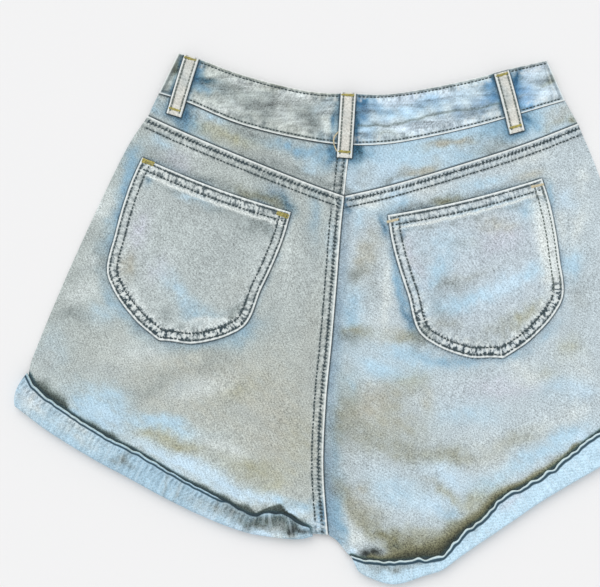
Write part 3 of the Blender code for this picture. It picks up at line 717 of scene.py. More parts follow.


# Creases of the upper layer: x1, y1, x2, y2, width, rise
creases = (
    (-268, -58, -236, -84, 4.5, -0.5), (-250, -62, -214, -92, 6, 0.45), (-205, -82, -172, -104, 4, -0.35),
    (-182, -118, -168, -96, 4, 0.3), (-140, -138, -128, -112, 4.5, 0.35), (-112, -152, -106, -122, 3.6, -0.3),
    (-92, -164, -84, -128, 4.2, 0.4), (-70, -166, -66, -140, 3.4, -0.4), (-44, -172, -36, -148, 3.6, 0.35),
    (-30, -176, -24, -150, 3, -0.35), (-120, -50, -64, -74, 7, -0.3), (-100, -84, -40, -96, 6, 0.3),
    (-232, 30, -216, -20, 6, 0.3), (-214, 96, -206, 58, 5, -0.3), (-40, 60, -30, 10, 6, -0.25),
    (-34, 98, -20, 70, 4, 0.3), (22, 96, 34, 60, 4, 0.3), (14, 20, 24, -30, 6, -0.3),
    (10, -120, 44, -146, 6, 0.45), (8, -142, 36, -168, 5, -0.45), (38, -176, 58, -196, 5, 0.45),
    (62, -180, 74, -198, 3.6, -0.5), (84, -176, 92, -192, 3.6, 0.45), (70, -120, 128, -146, 6, -0.4),
    (96, -104, 160, -126, 7, 0.4), (150, -126, 168, -140, 4, 0.4), (172, -108, 188, -126, 4.2, -0.35),
    (204, -92, 222, -106, 4.4, 0.35), (150, -60, 236, -36, 8, -0.35), (236, 40, 252, -14, 6, 0.3),
    (230, 110, 238, 66, 5, -0.3), (56, -60, 84, -96, 7, 0.3),
)

# Colours of the worn cloth and of the painted light and shade on it, as the screen shows them
shades = {
    "grey": (170, 179, 179), "pale": (208, 217, 217), "beige": (180, 182, 172), "sand": (164, 165, 142),
    "smoke": (128, 138, 138), "lilac": (194, 199, 210), "sky": (178, 208, 226), "ice": (199, 224, 241),
    "blue": (136, 173, 196), "deep": (58, 100, 130), "stone": (168, 168, 156), "white": (224, 231, 229),
    "olive": (112, 111, 84), "black": (36, 42, 40), "slate": (86, 98, 94), "navy": (36, 74, 94),
    "drab": (146, 148, 132), "steel": (122, 146, 164), "teal": (20, 60, 74),
}

# Worn and unfaded places of the cloth, painted light on its raised folds and painted shade in its hollows and
# creases: x, y, reach, width, turn, shade, share
legPatches = (
    # beside the left pocket
    (-190, 138, 14, 6, 75, "blue", .65), (-197, 118, 18, 5, 72, "blue", .65),
    (-204, 90, 22, 6, 76, "blue", .7), (-202, 94, 14, 3, 76, "deep", .4), (-212, 64, 16, 9, 80, "blue", .35),
    (-208, 20, 22, 5, -62, "blue", .45), (-188, -5, 22, 6, -45, "blue", .45),
    (-140, -23, 36, 7, 3, "blue", .6), (-93, -13, 20, 10, 25, "blue", .65), (-84, 12, 20, 5, 65, "sky", .35),
    (-216, 101, 14, 8, 65, "pale", .6), (-130, 128, 42, 5, -22, "smoke", .6),
    (-78, 110, 18, 6, -20, "olive", .6), (-62, 110, 12, 8, -30, "steel", .6),
    (-51, 103, 8, 5, -50, "deep", .5), (-236, 78, 14, 10, 60, "grey", .4),
    (-225, 45, 20, 6, 20, "smoke", .35), (-245, 2, 20, 8, 10, "smoke", .45),
    (-236, 25, 20, 9, 20, "pale", .45), (-214, 6, 14, 11, 0, "sky", .4), (-262, -30, 16, 13, 70, "sky", .45),
    (-50, 50, 30, 9, 85, "pale", .35), (-26, 90, 24, 7, 86, "blue", .5), (-150, 143, 16, 8, -22, "lilac", .6),
    (-60, 20, 34, 12, 70, "grey", .3), (-34, 40, 46, 8, 84, "grey", .35), (-30, -20, 40, 8, 84, "beige", .4),
    # left leg end
    (-120, -60, 90, 40, -10, "beige", .55), (-60, -105, 34, 52, 0, "beige", .6),
    (-222, -84, 30, 19, -30, "sky", .85), (-212, -92, 22, 9, -30, "ice", .4),
    (-163, -96, 32, 7, -14, "sky", .85), (-172, -118, 24, 8, -24, "ice", .6),
    (-142, -133, 26, 9, -24, "ice", .8), (-110, -148, 26, 8, -26, "ice", .75),
    (-80, -160, 24, 7, -10, "ice", .7), (-56, -164, 10, 5, -20, "sky", .6),
    (-36, -172, 10, 8, -30, "pale", .6), (-150, -112, 28, 7, -10, "sand", .55),
    (-172, -105, 12, 4, -6, "sand", .4), (-80, -135, 28, 10, -8, "sand", .5),
    (-95, -66, 20, 10, 20, "sand", .3), (-66, -150, 14, 6, 10, "sand", .4),
    (-40, -110, 14, 22, 0, "sand", .2), (-180, -30, 30, 14, 10, "pale", .45),
    (-130, -62, 24, 9, 14, "pale", .6), (-106, -116, 28, 6, -20, "pale", .55),
    (-216, -46, 26, 7, -8, "grey", .5), (-170, -60, 24, 6, 22, "smoke", .3),
    (-118, -40, 18, 9, 40, "smoke", .25), (-90, -88, 30, 6, -30, "grey", .3),
    (-166, 142, 20, 12, 12, "smoke", .3), (-190, 139, 16, 10, 67, "blue", .4),
    (-69, 130, 16, 8, -20, "smoke", .4), (-270, -38, 18, 8, 70, "grey", .6),
    (-35, -170, 16, 7, 5, "blue", .4), (-6, 112, 20, 6, -20, "smoke", .4),
    (-282, -56.5, 5, 2.2, -20, "black", .95), (-22, -181, 4, 14, 0, "blue", .65),
    (-70, 106, 20, 6, -24, "smoke", .5), (-209, 49, 24, 15, -70, "smoke", .35),
    (-167, -9, 24, 9, -29, "smoke", .4), (-148, -63, 11, 7, 20, "grey", .6),
    (-262, -34, 14, 9, 66, "grey", .55), (-30, 60, 12, 50, 0, "grey", .3), (-30, -30, 10, 60, 0, "grey", .3),
    # beside the right pocket
    (8, 6, 28, 12, 88, "sky", .6), (6, 0, 24, 7, 88, "blue", .35), (22, 60, 24, 7, 60, "grey", .7),
    (12, 40, 11, 5, 45, "smoke", .45), (27, 26, 22, 7, 88, "grey", .4), (37, 20, 42, 6, 88, "pale", .65),
    (8, -14, 17, 5.5, 0, "drab", .9), (60, -17, 20, 5.5, -8, "drab", .8), (36, 84, 9, 3, -75, "deep", .8),
    (52, 28, 30, 5, -74, "blue", .85), (60, -2, 14, 4, -70, "deep", .5), (56, 97, 18, 3, 12, "black", .5),
    (75, 102, 20, 4, 14, "smoke", .75), (95, 105, 12, 5, 8, "olive", .75),
    (132, 113, 32, 3, 14, "smoke", .55), (50, 103, 13, 5, 20, "blue", .6), (124, 121, 24, 6, 14, "sky", .6),
    (188, 114, 12, 4, -75, "blue", .75), (193, 88, 22, 5, -80, "pale", .5), (206, 50, 13, 10, 80, "sky", .9),
    (190, 44, 20, 4, 88, "pale", .6), (212, 84, 18, 8, 80, "pale", .6), (213, 18, 14, 10, 80, "grey", .4),
    (204, -26, 12, 10, 60, "sand", .35), (60, -33, 26, 7, -16, "sky", .95), (84, -36, 20, 5, -12, "blue", .4),
    (30, -43, 20, 9, -30, "sky", .75), (106, -38, 28, 4, -3, "blue", .5), (152, -36, 15, 5, 20, "blue", .4),
    (182, -12, 17, 5, 45, "blue", .3), (14, 90, 12, 6, 60, "sky", .5), (3, 102, 4, 9, 0, "deep", .8),
    (60, 112, 40, 4, 14, "pale", .4),
    # right leg end
    (46, -50, 30, 11, 0, "sky", .45), (20, -80, 20, 13, 0, "beige", .7), (20, -106, 26, 14, -20, "drab", .42),
    (40, -85, 20, 9, 60, "sand", .3), (56, -119, 24, 9, -10, "drab", .45), (96, -124, 30, 8, 4, "drab", .62),
    (62, -58, 16, 10, 20, "sand", .35), (150, -112, 28, 7, 22, "drab", .5), (181, -98, 20, 8, 20, "pale", .4),
    (209, -84, 15, 10, 20, "pale", .5), (180, -50, 14, 8, 0, "sand", .3), (76, -76, 10, 12, 0, "beige", .5),
    (112, -86, 28, 12, 0, "sky", .45), (145, -62, 34, 9, 6, "lilac", .5), (196, -62, 20, 10, 10, "sky", .4),
    (96, -143, 24, 10, -18, "ice", .75), (76, -166, 28, 10, -24, "ice", .72),
    (96, -176, 10, 5, -20, "blue", .35), (48, -156, 30, 14, -10, "sky", .5),
    (166, -127, 34, 8, 24, "sky", .8), (202, -106, 22, 9, 24, "sky", .8),
    (92, -158, 16, 3.6, -38, "sand", .6), (74, -148, 13, 4.5, -20, "grey", .5),
    (62, -192, 26, 5, 0, "sand", .25), (130, -162, 18, 8, 40, "sand", .5),
    (-10, -144, 22, 5, -78, "steel", .5), (2, -168, 14, 5, -50, "drab", .55),
    (16, -181, 13, 5.5, -47, "drab", .65), (30, -194, 14, 5.5, -45, "olive", .6),
    (42, -207, 12, 6, -48, "olive", .75), (11, -194, 14, 9, -45, "pale", .85),
    (-6, -118, 42, 6, -88, "blue", .55), (-9, -178, 27, 8, -78, "blue", .9),
    (-16, -184, 12, 3, -85, "deep", .6), (2, -100, 42, 9, 88, "grey", .45), (-6, -50, 30, 6, 88, "sky", .4),
    (76, -13, 18, 7, 50, "smoke", .6), (7, -20, 12, 7, -13, "smoke", .5), (32, 95, 16, 8, -12, "sky", .5),
    (6, -74, 26, 10, -79, "drab", .45), (-3, -93, 24, 9, 78, "drab", .45), (-4, -152, 22, 8, -55, "drab", .5),
    (19, -172, 14, 9, -20, "stone", .4), (73, -153, 14, 11, 20, "grey", .35),
    (25.5, -214, 6, 4.4, 0, "black", .97), (52, -205, 13, 6, 0, "olive", .75),
    (78, -12, 18, 6, -39, "smoke", .5), (28, 106, 11, 11, 0, "pale", .6), (169, 146, 22, 9, 14, "pale", .4),
    (21, -179, 16, 9, -20, "drab", .4), (-13, -144, 6, 20, 10, "smoke", .5),
    (214, -47, 16, 13, 0, "pale", .4), (45, -96, 18, 10, 0, "beige", .5), (180, 122, 14, 6, 31, "pale", .4),
    (135, -124, 22, 16, 20, "pale", .45), (134, -150, 22, 8, 30, "sky", .5), (60, -198, 26, 6, 8, "drab", .4),
    (15, 105, 9, 8, 0, "pale", .5), (47, 109, 10, 5, 12, "sky", .55), (-26, -189, 10, 6, -20, "ice", .8),
    (46, -199, 9, 5, -50, "olive", .6), (-64, 104, 14, 5.5, -20, "olive", .4),
    (0, 113, 7, 5, 0, "smoke", .55), (-140, -9, 16, 6, -20, "smoke", .3), (6, -60, 12, 8, 88, "sky", .45),
    (214, -65, 14, 10, 0, "ice", .5), (43, 82, 6, 6, 0, "sky", .4), (214, 125, 14, 8, 80, "pale", .5),
    (-10, 70, 16, 5, 88, "sky", .35), (-229, 49, 12, 9, 60, "pale", .45), (164, -50, 16, 8, -20, "pale", .6),
    (-44, -177, 7, 5, 0, "ice", .8), (116, -165, 12, 6, 40, "sand", .5), (170, 127, 12, 6, 14, "stone", .5),
    (75, 119, 14, 5, 14, "pale", .5), (-136, 152, 14, 5, -22, "pale", .5), (167, 149, 16, 5, 20, "pale", .5),
    (-67, -166, 8, 3, 0, "ice", .6), (-14, -142, 8, 5, -80, "smoke", .35), (21, 105, 9, 6, 0, "white", .45),
    (50, -207, 10, 4, 0, "slate", .6), (20, 56, 22, 8, 70, "beige", .6), (12, 40, 10, 5, 45, "smoke", .4),
    (47, 110, 12, 6, 12, "ice", .6), (200, 108, 9, 9, 0, "ice", .5), (214, -107, 6, 4, 30, "ice", .8),
    (-70, -176, 9, 3, -15, "slate", .6), (-39, -186, 8, 3, -10, "slate", .6),
    (77, -16, 9, 5, -10, "smoke", .7), (36, -13, 10, 3, 0, "ice", .4), (-263, -72, 8, 2.5, -30, "smoke", .6),
    (17, -156, 10, 8, 0, "stone", .5), (-17, -107, 14, 4, 88, "smoke", .4),
    (-207, -68, 14, 9, -20, "sky", .5), (-26, 39, 14, 8, 88, "grey", .5), (34, -72, 26, 12, 20, "stone", .45),
    (60, -100, 24, 12, -10, "drab", .3), (9, -210, 5, 4, 0, "ice", .6), (40, -12, 12, 6, 0, "beige", .4),
    (179, 8, 6, 12, -20, "pale", .4), (-165, 158, 10, 6, -20, "sky", .45), (-103, -2, 12, 5, 30, "steel", .5),
)

# Shadow of the leg against its turned-up end: x, reach, share
hemShadows = {
    "left": (
        (-290, 2, .5), (-282, 2.4, .7), (-278, 4, .85), (-274, 8, .9), (-267, 13, .95), (-262, 12, .9),
        (-254, 12, .85), (-250, 13, .9), (-246, 3, .6), (-234, 3, .7), (-224, 7, .95), (-216, 6, .85),
        (-207, 8, .85), (-198, 4, .8), (-188, 2.6, .9), (-150, 2.6, .9), (-138, 4, .85), (-122, 5.5, .9),
        (-108, 6, .88), (-98, 5, .85), (-92, 6.5, .78), (-86, 8.5, .75), (-82, 6, .8), (-79, 2.6, .9),
        (-74, 4.2, .85), (-68, 6.2, .8), (-62, 7.6, .78), (-57, 10, .85), (-53, 7.5, .95), (-48, 4.2, .98),
        (-40, 3.6, .98), (-34, 2.8, .9), (-27, 1, .2), (-14, 1, .1),
    ),
    "right": (
        (8, 2.2, .9), (20, 3, .95), (25, 8, .98), (30, 7, .9), (36, 7, .92), (43, 11, .95), (50, 17, .95),
        (64, 23, .95), (78, 23, .95), (92, 19, .98), (104, 13, .98), (120, 11, .95), (133, 10, .92),
        (146, 8, .9), (155, 7, .95), (164, 6.5, .95), (174, 7.5, .9), (188, 6, .85), (200, 4.6, .8),
        (208, 6, .85), (216, 2.6, .6), (285, 3, .8),
    ),
}

# Worn and unfaded places of the yokes, with painted shade beside the loops and along the band's foot: x, y,
# reach, width, turn, shade, share
yokePatches = (
    (-138, 176, 15, 8, -35, "blue", .65), (-168, 190, 8, 6, -40, "blue", .5),
    (-122, 168, 14, 8, -30, "sand", .35), (-98, 162, 24, 8, -26, "sand", .6),
    (-38, 151, 32, 6, -12, "blue", .7), (-12, 151, 12, 8, 0, "blue", .6), (-25, 137, 13, 7, -10, "sky", .55),
    (-64, 141, 22, 9, -20, "grey", .5), (-160, 170, 14, 6, -40, "grey", .4),
    (-118, 153, 30, 4, -28, "sky", .4), (-8, 122, 6, 14, 0, "grey", .5), (12, 152, 6, 12, 0, "deep", .45),
    (60, 148, 38, 9, 8, "sky", .9), (112, 165, 32, 7, 15, "sky", .7), (136, 172, 11, 8, 0, "blue", .75),
    (95, 158, 22, 3.2, 8, "smoke", .5), (96, 157, 24, 4, 12, "stone", .75),
    (66, 133, 18, 4.5, 10, "stone", .6), (120, 150, 18, 4, 16, "drab", .4),
    (152, 152, 22, 7, 15, "pale", .55), (190, 178, 16, 5, 24, "drab", .5), (12, 152, 10, 9, 50, "navy", .7),
    (167, 177, 20, 8, 33, "blue", .7), (140, 167, 20, 8, -10, "blue", .7),
    (-69, 138, 18, 6, -24, "smoke", .35), (-84, 168, 22, 5, -25, "smoke", .45),
    (-8, 118, 18, 5, -20, "smoke", .4), (55, 155, 24, 10, 20, "sky", .6), (38, 133, 18, 8, -67, "ice", .6),
    (109, 147, 20, 6, 14, "sky", .7), (108, 166, 20, 4, 12, "sky", .6), (193, 186, 18, 7, 24, "pale", .6),
    (140, 153, 16, 8, 15, "smoke", .4), (-116, 182, 16, 5, -28, "sky", .5),
    (-141, 186, 18, 7, 72, "deep", .45), (-11, 148, 6, 12, 30, "deep", .35),
    (-63, 133, 30, 5, -24, "smoke", .3), (20, 126, 8, 14, 0, "grey", .35), (24, 150, 10, 8, 0, "blue", .5),
    (168, 178, 20, 8, 24, "sky", .6), (167, 177, 8, 6, 20, "blue", .7), (-38, 131, 13, 4.5, -14, "smoke", .5),
    (-8, 154, 6, 6, 0, "navy", .7), (13, 155, 5, 7, 0, "navy", .85), (162, 179, 5, 3, -50, "deep", .7),
    (205, 180, 6, 4, 0, "olive", .55), (194, 187, 14, 7, 20, "grey", .5), (-4, 116, 8, 5, 0, "smoke", .6),
    (45, 126, 12, 4, 14, "smoke", .45), (73, 136, 12, 5, 12, "stone", .5),
)

# Worn places of the waistband, with painted shade in its creases and beside the loops: x, y, reach, width,
# turn, shade, share
bandPatches = (
    (-112, 210, 26, 4, -14, "smoke", .55), (-75, 203, 24, 4, -12, "smoke", .5),
    (-35, 192, 26, 5, -10, "smoke", .55), (-20, 197, 12, 7, 0, "grey", .5),
    (-122, 217, 11, 2.6, -18, "navy", .9), (-128, 226, 3, 5, 0, "deep", .6),
    (-125, 208, 15, 4, -12, "blue", .6), (-60, 186, 44, 5, -12, "pale", .45),
    (-30, 176, 22, 5, -6, "pale", .55), (-86, 214, 22, 3, -16, "pale", .4),
    (-158, 216, 5, 12, -20, "smoke", .6), (-149, 226, 4, 9, -20, "olive", .6),
    (-165, 197, 9, 6, -40, "blue", .55), (-46, 205, 34, 3, -6, "sand", .35), (-8, 180, 3, 15, 0, "deep", .55),
    (-10, 158, 5, 6, 0, "deep", .75), (62, 172, 54, 5, 8, "pale", .5), (40, 178, 6, 4, 0, "steel", .5),
    (64, 176, 5, 5, 0, "steel", .5), (86, 183, 4, 5, 0, "steel", .45), (104, 186, 4, 6, 0, "steel", .5),
    (118, 193, 5, 6, 0, "smoke", .3), (56, 198, 20, 4, 8, "lilac", .6), (38, 188, 24, 6, 0, "blue", .4),
    (88, 196, 26, 6, 12, "blue", .38), (104, 202, 24, 4, 14, "grey", .4), (133, 210, 7, 6, 0, "blue", .8),
    (129, 206, 5, 5, 0, "deep", .5), (155, 218, 4.5, 7, 0, "navy", .8), (161, 208, 13, 2.6, -10, "navy", .6),
    (166, 193, 11, 4, -10, "deep", .65), (160, 200, 6, 12, 0, "blue", .6), (184, 216, 7, 4, 20, "sand", .7),
    (-92, 211, 20, 5, -14, "pale", .65), (80, 198, 20, 6, 20, "sky", .7), (162, 226, 16, 5, 10, "pale", .7),
    (-21, 167, 12, 8, -20, "pale", .5), (50, 198, 20, 6, 4, "pale", .5), (-116, 190, 16, 5, -24, "pale", .4),
    (112, 174, 18, 5, 12, "pale", .45), (165, 203, 12, 9, 20, "steel", .6),
    (133, 194, 24, 6, 20, "steel", .6), (-27, 178, 15, 9, -76, "smoke", .7),
    (-81, 193, 20, 8, -4, "smoke", .55), (-46, 199, 20, 7, 10, "pale", .9),
    (163, 203, 12, 6, 88, "steel", .6), (-100, 199, 24, 8, -42, "smoke", .45),
    (-131, 217, 12, 7, -61, "deep", .4), (90, 204, 16, 6, -40, "pale", .5), (-18, 192, 10, 7, 10, "sky", .55),
    (66, 174, 26, 6, 10, "pale", .75), (96, 172, 16, 5, 12, "pale", .7), (-67, 187, 16, 7, 80, "smoke", .45),
    (176, 226, 16, 5, 14, "lilac", .5), (186, 204, 8, 6, 0, "pale", .5), (30, 164, 24, 3, 2, "sand", .3),
    (162, 204, 6, 7, 0, "deep", .5), (-18, 189, 9, 8, 0, "pale", .5), (-101, 189, 10, 6, -20, "pale", .5),
    (-52, 184, 11, 6, 0, "grey", .55), (17, 194, 8, 8, 0, "navy", .97), (17, 179, 7, 8, 0, "deep", .55),
    (134, 198, 6, 6, 0, "deep", .5), (10.5, 172, 2.6, 20, 0, "navy", .8), (24, 190, 6, 9, 0, "steel", .4),
    (180, 210, 18, 14, 20, "grey", .45), (154.5, 217, 2.6, 5, 0, "navy", .85),
    (156.6, 207.9, 4, 4, 0, "deep", .85), (165, 202, 10, 2.4, 15, "smoke", .85),
    (166, 193, 5, 5, 0, "blue", .6), (184, 215, 7, 3, 20, "olive", .6), (136.4, 217.6, 6, 3, -75, "navy", .7),
    (175, 226, 12, 4, 14, "pale", .5), (170, 213, 14, 2, 14, "smoke", .4), (182, 199, 12, 3, 15, "pale", .5),
    (166, 206, 7, 4, 0, "steel", .5), (161, 225, 5, 4, 0, "pale", .7), (11, 160, 3, 4, 0, "deep", .85),
    (-8, 162, 3, 4, 0, "deep", .5), (21, 165, 6, 8, 0, "sky", .6), (-20, 158, 5, 7, 0, "blue", .55),
    (-35, 184, 8, 5, -10, "smoke", .5), (92, 206, 14, 5, 14, "white", .5), (165, 197, 10, 4, 15, "steel", .5),
    (-84, 178, 14, 4, -14, "smoke", .5),
)

pocketPatches = (
    # left pocket
    (-147, 22, 24, 8, -52, "sky", .6), (-128, 5, 20, 8, -8, "blue", .3), (-116, -2, 30, 4, 2, "pale", .8),
    (-196, 48, 12, 6, 80, "stone", .6), (-184, 78, 18, 9, 76, "lilac", .65),
    (-168, 44, 14, 10, 60, "lilac", .3), (-176, 127, 5, 5, 0, "deep", .5), (-62, 84, 5, 5, 0, "deep", .35),
    (-106, 58, 34, 24, 20, "grey", .3), (-130, 88, 30, 10, -20, "grey", .3),
    (-98, 28, 18, 10, 50, "beige", .3), (-90, 8, 18, 7, 50, "grey", .4), (-67, 88, 12, 14, 0, "smoke", .35),
    (-100, 27, 20, 14, 52, "grey", .5), (-144, 107, 20, 10, -28, "grey", .4),
    (180, 76, 36, 5, -80, "white", .6), (184, 40, 16, 6, -80, "pale", .6), (180, 114, 10, 5, 14, "pale", .4),
    (-72, 86, 22, 9, 19, "smoke", .4), (-108, 96, 26, 8, -26, "smoke", .35), (-98, 1, 20, 8, 50, "smoke", .3),
    (-176, 135, 5, 4, 0, "white", .8), (-60, 88, 5, 4, 0, "white", .8), (-188, 16, 16, 6, -50, "pale", .6),
    (-134, 108, 18, 3.5, -22, "sky", .6), (-130, 30, 20, 10, 0, "grey", .3),
    # right pocket
    (84, 40, 20, 10, 60, "sky", .8), (110, 16, 34, 8, 14, "sky", .9), (150, 32, 30, 8, 24, "ice", .7),
    (172, 42, 14, 7, 30, "sky", .6), (97, 30, 15, 6, 20, "smoke", .5), (112, 38, 20, 5, 16, "grey", .5),
    (138, 72, 26, 13, 12, "lilac", .6), (140, 84, 20, 7, 0, "beige", .45), (96, 68, 26, 12, 0, "sky", .4),
    (90, 1, 20, 8, -60, "smoke", .3), (122, -26, 20, 6, -17, "smoke", .35), (90, -5, 16, 5, -10, "grey", .7),
    (142, -10, 26, 10, 20, "grey", .7), (165, 4, 18, 7, 40, "sand", .55), (130, 100, 34, 4, 14, "sky", .8),
    (52, 86, 10, 6, 0, "blue", .7), (182, 106, 5, 5, 0, "deep", .5), (52, 76, 4, 4, 0, "deep", .5),
    (62, 52, 26, 5, -72, "lilac", .5), (168, 96, 10, 14, 0, "sky", .5), (76, -12, 8, 5, -40, "slate", .6),
    (114, 67, 14, 8, 0, "grey", .4), (168, 99, 8, 6, 0, "blue", .4), (179, 8, 8, 5, 60, "pale", .5),
    (-100, 1, 9, 5, 50, "slate", .45), (-140, -9, 14, 5, -10, "smoke", .35),
    (-161, 1, 8, 6, -40, "smoke", .35), (-67, 88, 8, 8, 0, "smoke", .4), (65, 96, 12, 4, 14, "smoke", .5),
    (63, 31, 14, 5, -74, "sky", .4),
)

leftLoop = {"node": "loop_left", "piece": "leftLoop", "top": (-136.3, 235.2), "foot": (-152.6, 182.7)}
centreLoop = {"node": "loop_centre", "piece": "centreLoop", "top": (4.4, 202.8), "foot": (0.8, 144.5)}
rightLoop = {"node": "loop_right", "piece": "rightLoop", "top": (141.7, 221.0), "foot": (156.1, 167.4)}
loops = (leftLoop, centreLoop, rightLoop)
loopSize = {"width": 13.5, "arch": 1.2, "past": 1.6, "landing": 5.0, "steps": (0, .1, .3, .5, .75, 1),
            "length": 58.0, "cut": (13.5, 62.0), "rim": 0.9, "ridge": 1.2, "row": 2.4, "rowPitch": 3.0}

pocket = {
    "side": ((0.0, 71.3), (25.0, 73.0), (50.0, 72.3), (75.0, 70.0), (95.0, 67.5), (106.0, 64.5), (113.0, 60.0)),
    "bottom": ((60.0, 113.0), (50.0, 122.5), (38.0, 131.0), (24.0, 138.8), (12.0, 144.2), (3.0, 148.1),
               (0.0, 149.0)),
    "dip": 3.0, "hem": 15.3, "turn": 11.0, "slack": 1.5, "innerSlack": 3.6,
    "left": (-114.3, 120.3, -20.3), "right": (109.3, 109.5, 13.4),
    "width": 143.0, "depth": 148.0, "cut": (150.0, 152.0), "coarse": 2.3, "fine": 0.75,
    "rows": (2.5, 8.6), "hemRows": (2.7, 9.5), "stitchRows": (2.6, 9.0),
    "mouthPull": {"left": 0.85, "right": 0.55}, "rubbed": 104.0,
}


def pocketPlan(side, shares, downShares):
    mouthX, mouthY, tilt = pocket[side]
    edge = onEdge([(-half, -depth) for depth, half in pocket["side"]], downShares)
    halfBottom = [(-half, -depth) for half, depth in pocket["bottom"]]
    bottom = onEdge(halfBottom + [(-x, y) for x, y in halfBottom[-2::-1]], shares)
    mouth = np.column_stack([pocket["side"][0][1] * (2 * shares - 1),
                             -pocket["dip"] * np.sin(math.pi * shares)])
    flat = coons(mouth, bottom, edge, edge * (-1, 1), shares, downShares)
    x, depth = flat[..., 0].copy(), -flat[..., 1]
    inner = x if side == "left" else -x
    slack = pocket["slack"] + pocket["innerSlack"] * ease(0.5 + inner / 70)
    slack = slack * ease((depth - 72) / 30) * ease(np.abs(x) / 28)
    flat[..., 0] += 0.6 * slack * np.sign(x)
    flat[..., 1] -= 0.8 * slack
    turn = math.radians(tilt)
    spin = np.array([[math.cos(turn), math.sin(turn)], [-math.sin(turn), math.cos(turn)]])
    return flat @ spin + (mouthX, mouthY)


def loopPlan(loop, downShares, across):
    top, foot = np.array(loop["top"]), np.array(loop["foot"])
    step = (foot - top) / np.linalg.norm(foot - top)
    side = np.array([-step[1], step[0]])
    along = top + (foot - top) * np.asarray(downShares)[:, None]
    return along[:, None] + ((across - 0.5) * loopSize["width"])[None, :, None] * side


fine = np.linspace(0, 1, 50)
mouths, rounds = {}, {}
for side in ("left", "right"):
    plan = pocketPlan(side, fine, fine)
    mouths[side] = plan[0]
    rounds[side] = np.vstack([plan[:, 0], plan[-1, 1:], plan[-2::-1, -1]])
loopEdges = []
for loop in loops:
    plan = loopPlan(loop, np.array([0.0, 1.0]), np.array([0.0, 1.0]))
    loopEdges.append(np.vstack([plan[0], plan[1, ::-1], plan[:1, 0]]))


def creaseRelief(points, table, seed=3):
    return ridges(points + stray(points, 60, 3.0, seed), table)


def backLow(points, tucked=0):
    # inner face of the upper layer with its smaller creases
    relief = creaseRelief(points, creases) + 0.12 * wander(points, 26, 9)
    if tucked:
        relief[-tucked:] = 0.0
    relief *= flatAtSides(points, 20.0) * ease(hemAway(points) / 9.0)
    return np.maximum(backInner(points, tucked) + relief, frontInner(points, tucked) + 0.15)


brim = {"left": 2.2, "right": 1.4}  # how far the turned-up ends reach past their edge
bulge = {"x": -66.0, "reach": 22.0, "sharper": 2.4}  # where the left one hangs over its hollow


def pastBrim(points, half):
    # how far a point of the leg lies outside the turned-up end
    return np.maximum(awayFrom(points, half["hem"]) - brim[half["name"]], 0.0)


def hemShadow(points, half, wider=1.0):
    x, reach, share = np.array(hemShadows[half["name"]]).T
    away = pastBrim(points, half)
    reach = wider * np.interp(points[..., 0], x, reach) * (1 + 0.16 * wander(points, 11, 81))
    reach *= np.where(reach > 6.0 * wider, 1.0, 2 - wider)
    sharp = 1.12 + bulge["sharper"] * bell(points[..., 0] - bulge["x"], bulge["reach"])
    return np.interp(points[..., 0], x, share) * ease(sharp * (1 - away / np.maximum(reach, 1.0))) ** 0.8


print("layout ready")

legMarks = {"tick": 1.25, "rows": felled["rows"], "rowDark": 0.62, "contact": 0.85, "ridge": 2.0}
legLook = {"left": washedDenim("left leg denim", 20, **legMarks),
           "right": washedDenim("right leg denim", -14, **legMarks)}
yokeLook = washedDenim("yoke denim", 4, tick=0.5, rows=felled["rows"], contact=0.85)
bandLook = washedDenim("band denim", 88, rope=9.0, ropePitch=4.6, ropeDark=0.45, ropePale=0.5, rows=(2.7,),
                       ridge=1.5, streakShare=2.3, mottleShare=0.8, cloudShare=0.3, grainShare=1.6,
                       rowPatchy=(0.8, 0.4))
pocketLook = washedDenim("pocket denim", 8, rope=12.5, ropePitch=3.3, ropeDark=1.0, ropePale=0.8, ropeEdge=0.08,
                         ropeStretch=0.55, rows=(2.6, 9.0), ridge=1.8, tick=1.3, rowDark=0.8,
                         tickAt=((1.3, 4.4), (7.8, 11.0)), tickPitch=3.3)
loopLook = washedDenim("loop denim", 0, rope=7.0, ropePitch=3.0, ropeDark=0.15, ropePale=0.4, ridge=1.6,
                       rows=(2.4,), rowDark=0.4, grainShare=1.2)
legBase = {"left": (178, 187, 185), "right": (187, 200, 206)}
yokeBase = {"left": (172, 181, 180), "right": (187, 208, 221)}
bandBase = {"left": (187, 195, 190), "right": (190, 206, 213)}
pocketBase = {"left": (181, 191, 191), "right": (188, 201, 209)}
cuffBase = {"left": (169, 200, 219), "right": (195, 225, 243)}
loopBase = (218, 217, 209)
darkThread = threadFinish("dark thread", (44, 58, 60), 1.7)
softThread = threadFinish("soft thread", (88, 98, 94), 1.5)
goldThread = threadFinish("gold thread", (132, 124, 66), 2.1)
paleThread = threadFinish("pale thread", (186, 176, 148), 1.3)
darkRows, softRows = [], []


# Back leg panels

panel = {"tall": 300.0, "coarse": 2.6, "fine": 0.9, "sideFine": 4.0, "seamFine": 22.0, "yokeFine": 14.0,
         "hemFine": 18.0, "tuck": (0.15, 0.3, 0.5, 0.75, 1.0),
         "cut": {"left": (302.0, 372.0), "right": (296.0, 372.0)},
         # the painted dark line of shadow against the left turned-up end fades out towards the crotch
         "clearFrom": -36.0, "shadowLineTo": -26.0, "shadowLineRun": 8.0}


def legSeam(points, name):
    # distance from the felled seams whose ridge lies on this leg, and how far along them
    away, run = nearest(points, seamFine)
    if name == "left":
        centreAway, centreRun = nearest(points, centreFine)
        nearer = centreAway < away
        away = np.where(nearer, centreAway, away)
        run = np.where(nearer, centreRun + runApart["centreBack"], run)
    return away, run


